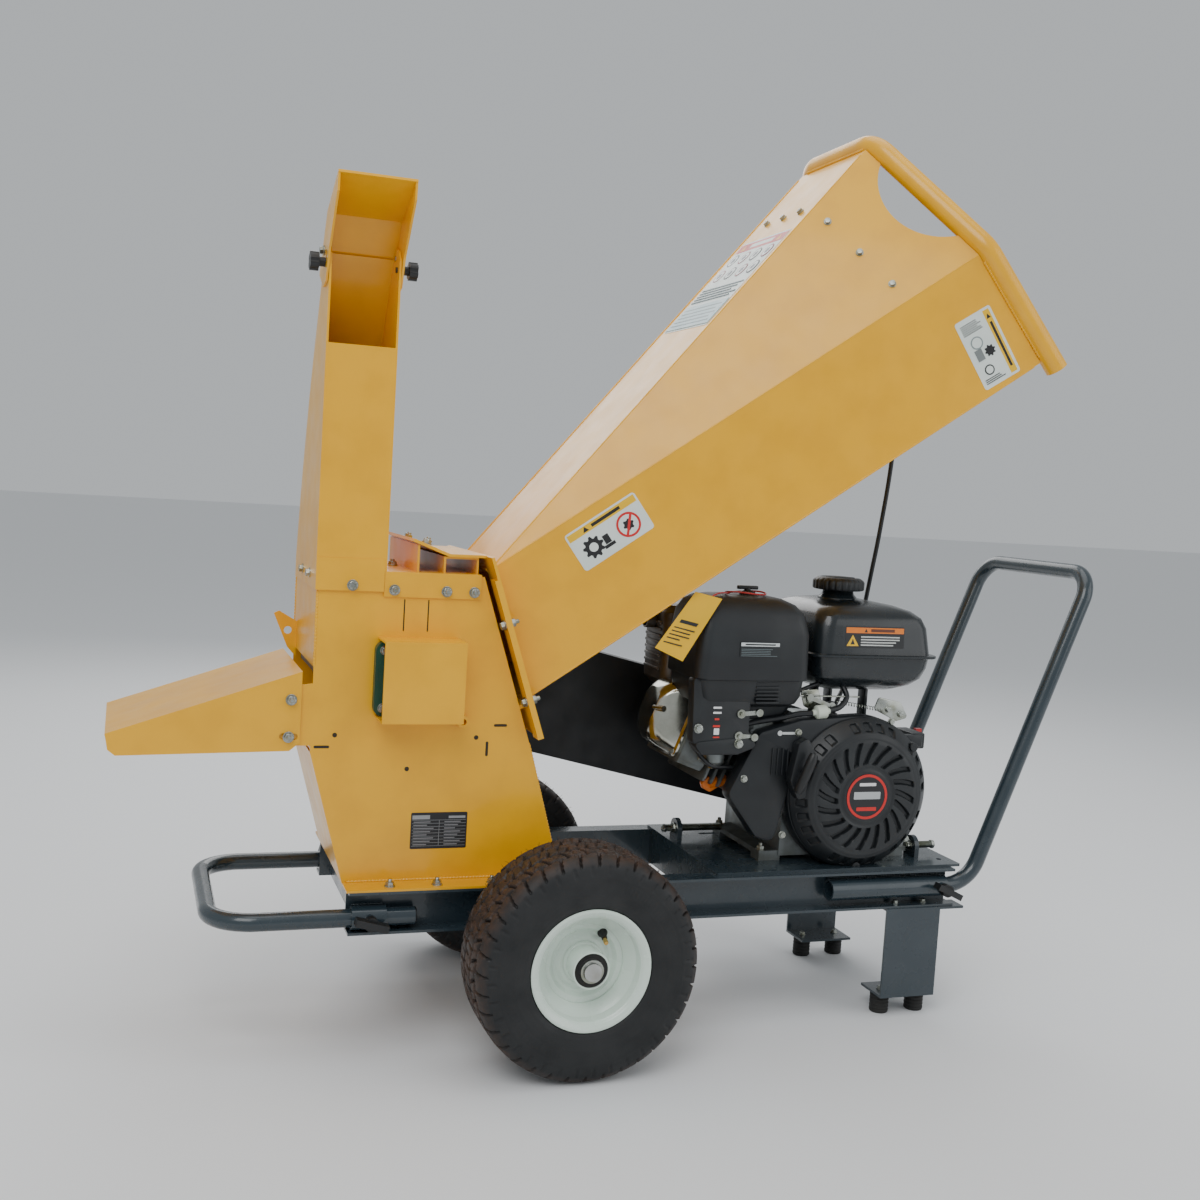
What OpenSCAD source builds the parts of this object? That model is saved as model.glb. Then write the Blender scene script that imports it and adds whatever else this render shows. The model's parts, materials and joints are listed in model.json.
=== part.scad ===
// Wood chipper on two wheels: petrol engine, belt-driven knife drum, folding-sheet
// feed hopper, upper chute with deflector and a lower discharge hood.
// Millimetres, +Z up. +X runs from the discharge hood towards the engine and push
// handle, +Y to the belt side. The origin is on the ground under the middle of the
// machine. Sizes below are measured from the wheel axle, and place() shifts them.

/* [Wheels] */
// Outside diameter of the tyres
tyre_d = 330; // [320:1:340]
// Width of the tyres
tyre_w = 127; // [120:1:130]
// Distance between the wheels' middle planes
track = 516; // [510:1:540]
// Diameter of the axle
axle_d = 25; // [20:1:28]

/* [Frame] */
// Height of the channel rails
rail_h = 62; // [58:1:66]
// Width of the rails' flanges
rail_flange = 32; // [30:1:34]
// Thickness of the rails' steel
rail_t = 4; // [3:0.5:5]
// Outside diameter of the handle tubes
tube_d = 26; // [22:1:26]

/* [Housing] */
// Half of the width over the housing's side plates
house_y = 122; // [120:1:123]
// Thickness of the housing's sheets
sheet_t = 3; // [2:0.5:3]
// Radius swept by the knives
knife_r = 128; // [120:1:130]
// Lean of the feed throat from the vertical
throat_lean = 18.8; // [18:0.2:19.6]

/* [Hopper] */
// Thickness of the hopper's sheets
hopper_t = 2.5; // [2:0.5:3]
// Diameter of the tube round the hopper's mouth
lip_d = 34; // [30:1:36]
// Radius of the hand holds cut beside the mouth
hand_hold_r = 100; // [90:1:104]

/* [Chute] */
// Thickness of the chute's sheets
chute_t = 3; // [2:0.5:3]
// Height of the chute's closed front
chute_front_z = 1012; // [960:1:1040]

/* [Drive] */
// Pitch diameter of the rotor's pulley
rotor_pulley_d = 150; // [140:1:160]
// Pitch diameter of the clutch pulley on the engine
clutch_pulley_d = 110; // [100:1:120]
// Half height of the belt guard
guard_r = 97; // [96:1:104]

/* [Hidden] */
$fn = 64;

YELLOW = [0.93, 0.68, 0.02];
DARK = [0.16, 0.19, 0.22];
BLACK = [0.07, 0.07, 0.08];
ZINC = [0.75, 0.77, 0.76];
CASTING = [0.42, 0.43, 0.43];
RUBBER = [0.10, 0.09, 0.08];
WHITE = [0.88, 0.90, 0.86];
RED = [0.80, 0.08, 0.06];

// clearances
run = 0.08;   // radial clearance of a running fit
gap = 0.5;    // gap between bodies that move past each other

// wheels and axle
axle_z = tyre_d / 2;
wheel_y = track / 2;
rim_flange_r = 88;
hub_r = 26;
hub_in = 54;   // how far the hub reaches inwards and outwards of the wheel's middle
hub_out = 54;

// rails
rail_x0 = -317;
rail_x1 = 681;
rail_z0 = 182;
rail_z1 = rail_z0 + rail_h;
web_y = 134;
rail_y1 = web_y + rail_flange;
tube_r = tube_d / 2;
tube_wall = 2;
sleeve_r = 17;
sleeve_bore_r = tube_r + gap;
leg_y = 153;   // handle legs from the middle

// front handle
front_z = 204;
front_bar_x = -505;
front_end_x = -220;
front_bend_r = 62;
front_sleeve = [-312, -262];
front_knob_x = -287;

// rear handle
rear_z = 214;
rear_sleeve = [454, 668];
rear_knob_x = 655;
rear_leg_x0 = 480;
rear_bend_x = 672;      // start of the lower bend
rear_bend_r = 62;
rear_lean = asin(0.352);   // lean of the upright legs from the vertical, about 20.6 degrees
rear_rise = 520;        // length of the upright legs, with their top bend
rear_top_r = 48;
rear_turn = 90 - rear_lean;
rear_up = [rear_bend_x + rear_bend_r * sin(rear_turn), rear_z + rear_bend_r * (1 - cos(rear_turn))];
rear_top_x = rear_up[0] + rear_rise * sin(rear_lean);

// rear legs and feet
leg_x = [556, 656];
leg_t = 4;
leg_plate_y = 169;
foot_z = 33;
foot_xs = [573, 639];
foot_y = 138;
foot_r = 16;

// engine plate
plate_x = [256, 700];
plate_z = [rail_z1, rail_z1 + 4];
slot_xs = [[330, 396], [560, 626]];
slot_y = 82;

// housing
house_in = house_y - sheet_t;
top_z = 695;
left_x = -374.7;
low_left = [left_x, 437];
foot_left = [-321, rail_z1];
edge_mid = [-52, 449];
foot_right = [8, rail_z1];
top_right_x = -134;
strip_z = 662;
rotor = [-236, 545];
drum_r = 112;
shaft_r = 15;
throat = [-123, 700];     // a point on the plane where the two throat flanges meet
flange_t = 4.5;
flange_y = 146;
throat_y = 101;
throat_span = [-201, 2];  // lowest and highest edge of the throat, along the flange
flange_span = [-254, 26];

// lower discharge hood
hood_pivot = [-404, 513];
hood_bolt = [-406, 460];
hood_y = house_y + gap;
hood_tip_x = -649;
hood_x1 = -390;
hood_top = [465, 553];
hood_low = [435, 440];

// chute
chute_x = [-374.7, -281.2];
chute_y0 = -house_y - 0.2;
chute_base_z = 669;
chute_top_z = 1140;
band_z = 715;
defl_pivot = [-92, 1140];
defl_knob = [-108, 1122];
function chute_back(z) = 119 - 0.19 * (z - chute_base_z) - 0.00047 * pow(z - chute_base_z, 2);

// hopper corners on +Y; the other side is the mirror image
throat_low = [-58, throat_y, 510];
throat_top = [-123, throat_y, 702];
mouth_top = [448, 106, 1389];
mouth_side = [578, 244, 1222];
mouth_low_x = 698;
mouth_low_z = 1070;
function cross_n(a, b, c) = let (n = cross(b - a, c - a)) n / norm(n);
side_n = cross_n(throat_low, throat_top, mouth_side);
// the lower corner lies in the side sheet's plane
mouth_low = [mouth_low_x,
    throat_low[1] - (side_n[0] * (mouth_low_x - throat_low[0])
        + side_n[2] * (mouth_low_z - throat_low[2])) / side_n[1],
    mouth_low_z];
mouth_lean = 38;          // the mouth's normal above the horizontal
lip_r = lip_d / 2;
lip_off = lip_r - 1;
mouth_trim = 1.6;         // how far the sheets stop short of the mouth's plane
curtain_x = 366;
curtain_z = 1276;
curtain_len = 420;
bolt_row = 130;           // curtain bolts from the mouth's edge

// drive
crank = [507, 367];
drive_dx = crank[0] - rotor[0];
drive_dz = crank[1] - rotor[1];
drive_len = norm([drive_dx, drive_dz]);
drive_angle = atan2(drive_dz, drive_dx);
belt_ys = [166, 186];
belt_w = 10;
belt_in = 6;              // belt's inside and outside from the pitch line
belt_out = 4;
guard_y = [146, 204];
guard_t = 2;

// engine
recoil_y = [-160, -128];
shroud_y = [-128, -96];
recoil_r = 124;
recoil_front_r = 101;
seat_z = 505.5;           // flat seat under the air cleaner and the muffler
barrel_lean = 20.5;       // rise of the cylinder's axis from the horizontal
tank_x = [412, 645];
tank_y = [-132, 112];
cap = [505, -20, 686];
choke_at = [286, 497];
fuel_at = [284, 462];
pin_r = 3;                // pivot pins of the small levers
throttle_at = [455, 506];
switch_at = [642, -62, 446];
handle_at = [396, -151, 408];
pull_turn = -110;         // bearing of the pull, from +X

// stop lead: centre line from the switch box to the engine, set by hand
lead_r = 4;
lead_pts = [[660, 100, 946], [660, 100, 936], [661, 100, 922], [660, 100, 905], [658, 100, 880], [655, 100, 850],
    [652, 101, 820], [649, 102, 790], [646, 103, 762], [643, 106, 730], [641, 110, 700], [640, 115, 672],
    [639, 120, 645], [637, 123, 615], [634, 124, 585], [629, 124, 556], [621, 121, 531], [610, 115, 511],
    [598, 106, 496], [587, 97, 485], [579, 91, 474], [575, 88, 465], [575, 88, 456]];
stop_box_at = [660, 100, 984];

// overall length, for the origin
x_min = hood_tip_x;
x_max = rear_top_x + tube_r;
origin_x = -(x_min + x_max) / 2;

// ---- helpers ----
module place() translate([origin_x, 0, 0]) children();
module cyl_x(y, z, x0, x1, r) translate([x0, y, z]) rotate([0, 90, 0]) cylinder(r = r, h = x1 - x0);
module cyl_y(x, z, y0, y1, r) translate([x, y0, z]) rotate([-90, 0, 0]) cylinder(r = r, h = y1 - y0);
module block(lo, hi) translate(lo) cube(hi - lo);
// outline in X and Z, from y0 to y1
module xz(y0, y1) translate([0, y1, 0]) rotate([90, 0, 0]) linear_extrude(y1 - y0) children();
// outline in Y and Z, from x0 to x1
module yz(x0, x1) translate([x0, 0, 0]) rotate([90, 0, 90]) linear_extrude(x1 - x0) children();
module ring(r, t) difference() { circle(r = r); circle(r = r - t); }
module both_sides() { children(); mirror([0, 1, 0]) children(); }
// body of revolution about Y through (x, z); its profile is radius and Y
module turned(x, z) translate([x, 0, z]) rotate([-90, 0, 0]) rotate_extrude() children();
module throat_frame() translate([throat[0], 0, throat[1]]) rotate([0, -throat_lean, 0]) children();
module barrel_frame() translate([crank[0], 0, crank[1]]) rotate([0, -90 + barrel_lean, 0]) children();
// a flat sheet with its outer face on the given corners, thickened along their normal
module sheet(c, t) {
    n = cross_n(c[0], c[1], c[2]);
    m = len(c);
    polyhedron(points = concat([for (p = c) p + n * t], c),
        faces = concat([[for (i = [0:m - 1]) m - 1 - i]], [[for (i = [0:m - 1]) m + i]],
            [for (i = [0:m - 1]) [i, (i + 1) % m, m + (i + 1) % m, m + i]]));
}
module slab(x0, x1, y0, y1, z0, z1, r) translate([x0 + r, y0 + r, z0])
    linear_extrude(z1 - z0) rounded(x1 - x0, y1 - y0, r);
module rounded(w, h, r) {
    translate([0, -r]) square([w - 2 * r, h]);
    translate([-r, 0]) square([w, h - 2 * r]);
    for (x = [0, w - 2 * r], y = [0, h - 2 * r]) translate([x, y]) circle(r = r);
}
// tube with a bend in the X-Y plane: starts at the origin along +X and turns to +Y
module bend(turn, big_r, r, wall) translate([0, big_r, 0]) rotate([0, 0, -90])
    rotate_extrude(angle = turn) translate([big_r, 0]) ring(r, wall);
module pipe(len, r, wall) rotate([0, 90, 0]) linear_extrude(len) ring(r, wall);
// hexagon head with its washer, standing on a face at the origin, along +Z
module head(d = 8) { cylinder(r = d, h = 1.6); cylinder(r = d * 0.82, h = 1.6 + d * 0.65, $fn = 6); }
module head_y(x, y, z, side, d = 8) translate([x, y, z]) rotate([side < 0 ? 90 : -90, 0, 0]) head(d);
module head_x(x, y, z, side, d = 8) translate([x, y, z]) rotate([0, side < 0 ? -90 : 90, 0]) head(d);

// ---- wheels ----
tyre_half = [[165, 0], [164.5, 34], [161, 50], [151, 60], [136, 63.5], [118, 63.5], [103, 61], [92, 58],
    [89, 54], [78, 54], [76, 52], [76, 40], [82, 38.5], [88, 46], [104, 53], [130, 55], [146, 51],
    [153, 38], [155, 0]];
module tyre(side) color(RUBBER) place() translate([0, side * wheel_y, 0]) turned(0, axle_z)
    polygon([for (i = [0:len(tyre_half) - 1]) let (p = tyre_half[i])
        [p[0] * tyre_d / 330, p[1] * tyre_w / 127],
        for (i = [len(tyre_half) - 2:-1:1]) let (p = tyre_half[i])
        [p[0] * tyre_d / 330, -p[1] * tyre_w / 127]]);
// pressed rim: flanges, bead seats, well, dished disc and hub; side points outwards
module rim(side) color(WHITE) place() translate([0, side * wheel_y, 0])
    mirror([0, side < 0 ? 1 : 0, 0]) turned(0, axle_z) {
        polygon([[73, -54], [88, -54], [88.5, -55.5], [88.5, -57], [70, -57], [70, -38], [59, -30],
            [59, 30], [70, 38], [70, 57], [88.5, 57], [88.5, 55.5], [88, 54], [76, 54], [76, 39],
            [63, 28], [63, -28], [76, -39], [76, -54]]);
        polygon([[hub_r - 3, 6], [44, 6], [48, 14], [60, 18], [60, 22], [46, 18], [42, 10],
            [hub_r - 3, 10]]);
        polygon([[axle_d / 2 + run, -hub_in], [hub_r, -hub_in], [hub_r, hub_out], [axle_d / 2 + run, hub_out]]);
    }
module axle() color(ZINC) place() {
    cyl_y(0, axle_z, -wheel_y - hub_out - 8, wheel_y + hub_out + 8, axle_d / 2);
    block([-17, -web_y - 18, axle_z - 17], [17, web_y + 18, rail_z0]);
    both_sides() cyl_y(0, axle_z, web_y + 18, wheel_y - hub_in - gap, axle_d / 2 + 4);
}

// ---- frame ----
module rail() difference() {
    union() {
        block([rail_x0, web_y, rail_z0], [rail_x1, web_y + rail_t, rail_z1]);
        for (z = [rail_z0, rail_z1 - rail_t])
            block([rail_x0, web_y, z], [rail_x1, rail_y1, z + rail_t]);
        cyl_x(leg_y, front_z, front_sleeve[0], front_sleeve[1], sleeve_r);
        cyl_x(leg_y, rear_z, rear_sleeve[0], rear_sleeve[1], sleeve_r);
        cyl_y(front_knob_x, front_z, leg_y + 8, leg_y + sleeve_r + 6, 9);
        cyl_y(rear_knob_x, rear_z, leg_y + 8, leg_y + sleeve_r + 6, 9);
    }
    cyl_x(leg_y, front_z, front_sleeve[0] - 1, front_sleeve[1] + 1, sleeve_bore_r);
    cyl_x(leg_y, rear_z, rear_sleeve[0] - 1, rear_sleeve[1] + 1, sleeve_bore_r);
    cyl_y(front_knob_x, front_z, leg_y, rail_y1 + 20, 4 + run);
    cyl_y(rear_knob_x, rear_z, leg_y, rail_y1 + 20, 4 + run);
}
module rail_left() color(DARK) place() mirror([0, 1, 0]) rail();
module rail_right() color(DARK) place() rail();
module cross_members() color(DARK) place() for (x = [-300, 256, 636])
    difference() {
        block([x, -web_y, rail_z0 + 4], [x + 36, web_y, rail_z1]);
        block([x + 3, -web_y - 1, rail_z0 + 7], [x + 33, web_y + 1, rail_z1 - 3]);
    }
module rear_legs() color(DARK) place() both_sides() {
    block([leg_x[0], leg_plate_y - leg_t, foot_z], [leg_x[1], leg_plate_y, rail_z0]);
    block([leg_x[0], web_y, rail_z0 - leg_t], [leg_x[1] + 44, leg_plate_y, rail_z0]);
    block([leg_x[0], 106, foot_z], [leg_x[1], leg_plate_y, foot_z + leg_t]);
}
module rubber_feet() color(RUBBER) place() both_sides() for (x = foot_xs) translate([x, foot_y, 0]) {
    cylinder(r1 = foot_r - 1, r2 = foot_r, h = foot_z);
}
module engine_plate() color(DARK) place() {
    difference() {
        slab(plate_x[0], plate_x[1], -152, 152, plate_z[0], plate_z[1], 4);
        for (s = slot_xs, y = [-slot_y, slot_y]) {
            block([s[0], y - 5, plate_z[0] - 1], [s[1], y + 5, plate_z[1] + 1]);
            for (x = s) translate([x, y, plate_z[0] - 1]) cylinder(r = 5, h = 6);
        }
        for (x = [plate_x[0] + 30, plate_x[1] - 22], y = [-120, 120])
            translate([x, y, plate_z[0] - 1]) cylinder(r = 4.5, h = 6);
    }
    for (p = [[270, 62], [640, -88]]) difference() {
        screw_lug(p[0], p[1]);
        cyl_x(p[1], plate_z[1] + 17, p[0] - 1, p[0] + 9, 6);
    }
}
module screw_lug(x, y) {
    block([x, y - 17, plate_z[1]], [x + 8, y + 17, plate_z[1] + 17]);
    cyl_x(y, plate_z[1] + 17, x, x + 8, 17);
}

// ---- handles ----
module front_handle() color(DARK) place() translate([front_end_x, 0, front_z]) {
    reach = front_end_x - front_bar_x;
    both_sides() translate([0, -leg_y, 0]) rotate([0, 0, 180]) mirror([0, 1, 0]) {
        pipe(reach - front_bend_r, tube_r, tube_wall);
        translate([reach - front_bend_r, 0, 0]) bend(90, front_bend_r, tube_r, tube_wall);
    }
    translate([-reach, -leg_y + front_bend_r, 0]) rotate([0, 0, 90])
        pipe(2 * (leg_y - front_bend_r), tube_r, tube_wall);
}
module rear_handle() color(DARK) place() {
    both_sides() translate([rear_leg_x0, -leg_y, rear_z]) {
        pipe(rear_bend_x - rear_leg_x0, tube_r, tube_wall);
        translate([rear_bend_x - rear_leg_x0, 0, 0]) rotate([90, 0, 0])
            bend(rear_turn, rear_bend_r, tube_r, tube_wall);
    }
    translate([rear_up[0], 0, rear_up[1]]) rotate([0, rear_lean - 90, 0]) {
        both_sides() translate([0, -leg_y, 0]) {
            pipe(rear_rise - rear_top_r, tube_r, tube_wall);
            translate([rear_rise - rear_top_r, 0, 0]) bend(90, rear_top_r, tube_r, tube_wall);
        }
        translate([rear_rise, -leg_y + rear_top_r, 0]) rotate([0, 0, 90])
            pipe(2 * (leg_y - rear_top_r), tube_r, tube_wall);
    }
}
// wing knob on its screw, turning about Y; it stands outside the far rail
module wing_knob(x, z, turn) translate([x, 0, z]) rotate([0, turn, 0]) {
    cyl_y(0, 0, leg_y + tube_r + 1.5, leg_y + sleeve_r + 8, 4);
    cyl_y(0, 0, leg_y + sleeve_r + 6.5, leg_y + sleeve_r + 20, 10);
    difference() {
        block([-24, leg_y + sleeve_r + 10, -5], [24, leg_y + sleeve_r + 28, 5]);
        for (s = [-1, 1]) translate([s * 32, leg_y + sleeve_r + 32, -6]) rotate([0, 0, 45])
            cube([18, 18, 30], center = true);
    }
}
module front_knob_left() color(BLACK) place() mirror([0, 1, 0]) wing_knob(front_knob_x, front_z, 15);
module front_knob_right() color(BLACK) place() wing_knob(front_knob_x, front_z, 15);
module rear_knob_left() color(BLACK) place() mirror([0, 1, 0]) wing_knob(rear_knob_x, rear_z, 25);
module rear_knob_right() color(BLACK) place() wing_knob(rear_knob_x, rear_z, 25);

// ---- housing ----
side_outline = [[left_x, top_z], low_left, foot_left, foot_right, edge_mid, [top_right_x, top_z]];
module housing_sides() color(YELLOW) place() both_sides() {
    difference() {
        union() {
            xz(house_in, house_y) polygon(side_outline);
            // ear that carries the lower hood
            xz(house_in, house_y) polygon([[left_x, 447], [-416, 447], [-420, 455], [-420, 522],
                [-412, 530], [left_x, 536]]);
        }
        cyl_y(rotor[0], rotor[1], house_in - 1, house_y + 1, 31);
        for (p = [hood_pivot, hood_bolt]) cyl_y(p[0], p[1], house_in - 1, house_y + 1, 4 + run);
    }
    // foot flange on the rail
    block([foot_left[0], house_in, rail_z1], [foot_right[0], rail_y1, rail_z1 + sheet_t]);
    // outward flange at the throat
    throat_frame() block([-flange_t, house_in, flange_span[0]], [0, flange_y, -8]);
}
module housing_wrapper() color(YELLOW) place() {
    // left wall above the hood, and the slanted wall below it
    block([left_x, -house_in, hood_top[1] + 6], [left_x + sheet_t, house_in, chute_base_z - 1]);
    xz(-house_in, house_in) polygon([low_left, [low_left[0] + 8, low_left[1]],
        [foot_left[0] + 6, foot_left[1]], foot_left]);
    // right wall below the throat
    xz(-house_in, house_in) polygon([edge_mid, [edge_mid[0] - 4, edge_mid[1]],
        [foot_right[0] - 4, foot_right[1]], foot_right]);
    // trough under the drum, from the anvil round to the hood
    difference() {
        cyl_y(rotor[0], rotor[1], -house_in, house_in, knife_r + 10);
        cyl_y(rotor[0], rotor[1], -house_y, house_y, knife_r + 6);
        block([-500, -200, rotor[1] - 38], [100, 200, 900]);
        block([-500, -200, 300], [rotor[0] - 96, 200, 900]);
    }
    // lip from the trough to the hood
    block([left_x, -house_in, low_left[1] + 4.5], [rotor[0] - 90, house_in, low_left[1] + 8.5]);
    // cross strips of the throat flange
    throat_frame() {
        block([-flange_t, -house_in, throat_span[0] - 40], [0, house_in, throat_span[0]]);
    }
    // feed floor from the throat to the anvil
    throat_frame() block([-20, -house_in, throat_span[0] - 6], [-flange_t, house_in, throat_span[0]]);
    // bracket with an eye, beside the hood on the belt side
    difference() {
        xz(92, 96) polygon([[left_x, 545], [left_x, 600], [-402, 616], [-410, 612], [-388, 560]]);
        cyl_y(-388, 586, 91, 97, 6);
    }
}
module housing_top() color(YELLOW) place() {
    block([chute_x[1] + gap, -house_y, top_z], [-139, house_y, top_z + sheet_t]);
    both_sides() block([chute_x[1] + gap, house_y, strip_z], [-139, house_y + sheet_t, top_z + sheet_t]);
    // open channel under the hopper's lip
    for (x = [-232, -193]) block([x, -110, top_z + sheet_t], [x + sheet_t, 110, x < -200 ? 737.5 : 722]);
    block([-193, -110, 719], [-141, 110, 722]);
    block([-144, -110, top_z + sheet_t], [-141, 110, 722]);
}
module anvil() color(ZINC) place() difference() {
    xz(-house_in, house_in) polygon([[rotor[0] + knife_r + 2, 520], [-80, 517], [-82, 500], [-100, 500],
        [-102, 509]]);
    for (y = [-70, 0, 70]) translate([-92, y, 495]) cylinder(r = 4, h = 30);
}
module bearing_cover() color(YELLOW) place() {
    y0 = -179;
    block([-285, y0, 488], [-168, y0 + sheet_t, 604]);
    for (z = [488, 601]) block([-285, y0, z], [-168, -house_y, z + sheet_t]);
    block([-171, y0, 488], [-168, -house_y, 604]);
    difference() {
        cyl_y(-157, 483, -house_y - 12, -house_y, 9);
        cyl_y(-157, 483, -house_y - 13, -house_y + 1, 4.5);
    }
}
module flange_bearings() color([0.05, 0.22, 0.14]) place() both_sides() difference() {
    union() {
        translate([rotor[0] - 40, 0, rotor[1] - 40]) xz(house_y, house_y + 14)
            rounded(108, 108, 14);
        cyl_y(rotor[0], rotor[1], house_y - sheet_t + 0.2, house_y + 26, 30);
    }
    cyl_y(rotor[0], rotor[1], house_y - 6, house_y + 30, shaft_r + run);
}

// ---- rotor ----
module rotor_shaft() color(ZINC) place() {
    cyl_y(rotor[0], rotor[1], -house_y - 30, guard_y[1] - 8, shaft_r);
}
module rotor_drum() color(CASTING) place() translate([rotor[0], 0, rotor[1]]) difference() {
    union() {
        cyl_y(0, 0, -108, 108, drum_r);
        // chip paddles between the knives
        for (s = [0, 180]) rotate([0, s, 0]) block([-knife_r, -108, -4], [-drum_r + 6, 108, 4]);
    }
    cyl_y(0, 0, -109, 109, shaft_r);
    // hollow between the end plates, round the hub and the knife seats
    difference() {
        cyl_y(0, 0, -94, 94, drum_r - 14);
        cyl_y(0, 0, -95, 95, 32);
        for (s = [0, 180]) rotate([0, s, 0]) block([-30, -95, 62], [110, 95, 110]);
    }
    // recess and lightening holes in each end plate
    both_sides() {
        difference() {
            cyl_y(0, 0, 102, 109, 96);
            cyl_y(0, 0, 101, 110, 34);
        }
        for (a = [0:60:300]) rotate([0, a, 0]) cyl_y(50, 0, 90, 110, 12);
    }
    // knife seats and the chip pockets in front of them
    for (s = [0, 180]) rotate([0, s, 0]) {
        block([10, -101, 84], [130, 101, 130]);
        for (y = [-70, 0, 70]) translate([40, y, 60]) cylinder(r = 5, h = 30);
    }
}
module knives() color(ZINC) place() translate([rotor[0], 0, rotor[1]])
    for (s = [0, 180]) rotate([0, s, 0]) {
        xz(-100, 100) polygon([[12, 84], [knife_r * 0.69, 84], [knife_r * 0.752, 84.3],
            [knife_r * 0.69, 92], [12, 92]]);
        for (y = [-70, 0, 70]) translate([40, y, 92]) head(7);
    }
module grooved_pulley(pitch_r, bore_r, y0) difference() {
    turned_y(y0) polygon([[bore_r, 0], [pitch_r + 6, 0], [pitch_r + 6, 3], [pitch_r - 9, 6], [pitch_r - 9, 18],
        [pitch_r + 6, 21], [pitch_r + 6, 23], [pitch_r - 9, 26], [pitch_r - 9, 38], [pitch_r + 6, 41],
        [pitch_r + 6, 44], [bore_r, 44]]);
    for (a = [45:90:360]) rotate([0, a, 0]) cyl_y(pitch_r * 0.58, 0, y0 - 1, y0 + 45, pitch_r * 0.17);
}
module turned_y(y0) translate([0, y0, 0]) rotate([-90, 0, 0]) rotate_extrude() children();
module rotor_pulley() color(CASTING) place() translate([rotor[0], 0, rotor[1]])
    grooved_pulley(rotor_pulley_d / 2, shaft_r, belt_ys[0] - 12);
module clutch_pulley() color(CASTING) place() translate([crank[0], 0, crank[1]])
    grooved_pulley(clutch_pulley_d / 2, 12.7, belt_ys[0] - 12);
// outline round both pulleys at a distance from their pitch circles
module belt_line(off) {
    ra = rotor_pulley_d / 2 + off;
    rb = clutch_pulley_d / 2 + off;
    a = acos((ra - rb) / drive_len);
    steps = 40;
    polygon([for (i = [0:steps]) let (t = a + (360 - 2 * a) * i / steps) ra * [cos(t), sin(t)],
        for (i = [0:steps]) let (t = -a + 2 * a * i / steps) [drive_len + rb * cos(t), rb * sin(t)]]);
}
module drive_frame() translate([rotor[0], 0, rotor[1]]) rotate([0, -drive_angle, 0]) children();
module v_belts() color(BLACK) place() drive_frame() for (y = belt_ys)
    xz(y - belt_w / 2, y + belt_w / 2) difference() { belt_line(belt_out); belt_line(-belt_in); }
module guard_line(r) {
    for (x = [0, drive_len]) translate([x, 0]) circle(r = r);
    translate([0, -r]) square([drive_len, 2 * r]);
}
module belt_guard() color(BLACK) place() drive_frame() difference() {
    xz(guard_y[0], guard_y[1]) guard_line(guard_r);
    xz(guard_y[0] + guard_t, guard_y[1] - guard_t) guard_line(guard_r - guard_t);
    cyl_y(0, 0, guard_y[0] - 1, guard_y[0] + 5, 34);
    cyl_y(drive_len, 0, guard_y[0] - 1, guard_y[0] + 5, 30);
}

// ---- chute and deflector ----
function back_line(off) = [for (i = [0:18]) let (z = curve_z0 + (chute_top_z - curve_z0) * i / 18)
    [chute_back(z) + off, z]];
function backwards(l) = [for (i = [len(l) - 1:-1:0]) l[i]];
curve_z0 = chute_base_z + 31;   // the curved wall starts just above the housing's top edge
module chute_side(x) yz(x, x + chute_t) difference() {
    polygon(concat([[chute_y0 - chute_t, chute_base_z], [chute_back(curve_z0), chute_base_z]],
        back_line(0), [[-92, 1154], [-112, 1148], [chute_y0 - chute_t, 1134]]));
    for (p = [defl_pivot, defl_knob]) translate(p) circle(r = 4 + run);
}
module chute() color(YELLOW) place() {
    // side walls; the inner one stands on the housing's top
    chute_side(chute_x[0] - chute_t);
    difference() {
        chute_side(chute_x[1]);
        block([-300, -300, 600], [-200, 300, top_z + sheet_t]);
    }
    // closed front, and the curved back
    block([chute_x[0] - chute_t, chute_y0 - chute_t, chute_base_z], [chute_x[1], chute_y0, chute_front_z]);
    yz(chute_x[0] - chute_t, chute_x[1] + chute_t) polygon(concat(back_line(0),
        backwards(back_line(-chute_t))));
    // raised band at the foot of the front
    block([chute_x[0] - chute_t, chute_y0 - chute_t - 1, chute_base_z],
        [chute_x[1], chute_y0 - chute_t, band_z]);
}
// cheek of the deflector, with its pivot hole and the slot for the clamping knob
slot_r = norm(defl_knob - defl_pivot);
slot_a0 = atan2(defl_knob[1] - defl_pivot[1], defl_knob[0] - defl_pivot[0]);
defl_tilt = 35;
defl_back = [[-48.5, 1112], [-105.5, 1192], [-198, 1231]];
module deflector_cheek(x) yz(x, x + chute_t) difference() {
    polygon(concat(defl_back, [[-196, 1204], [-136, 1136], [-118, 1096], [-92, 1090]]));
    translate(defl_pivot) {
        circle(r = 4 + run);
        intersection() {
            ring(slot_r + 4.5, 9);
            polygon([[0, 0], for (t = [0:5]) let (a = slot_a0 - defl_tilt * t / 5) 60 * [cos(a), sin(a)]]);
        }
        for (a = [slot_a0, slot_a0 - defl_tilt]) translate(slot_r * [cos(a), sin(a)]) circle(r = 4.4);
    }
}
module deflector() color(YELLOW) place() {
    x0 = chute_x[0] - chute_t - gap - chute_t;
    x1 = chute_x[1] + chute_t + gap;
    deflector_cheek(x0);
    deflector_cheek(x1);
    d = 3.4;
    yz(x0, x1 + chute_t) polygon(concat(defl_back,
        [for (i = [2, 1, 0]) defl_back[i] - d * [[1, 0.6], [0.4, 1], [0.3, 1]][i]]));
}
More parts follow.
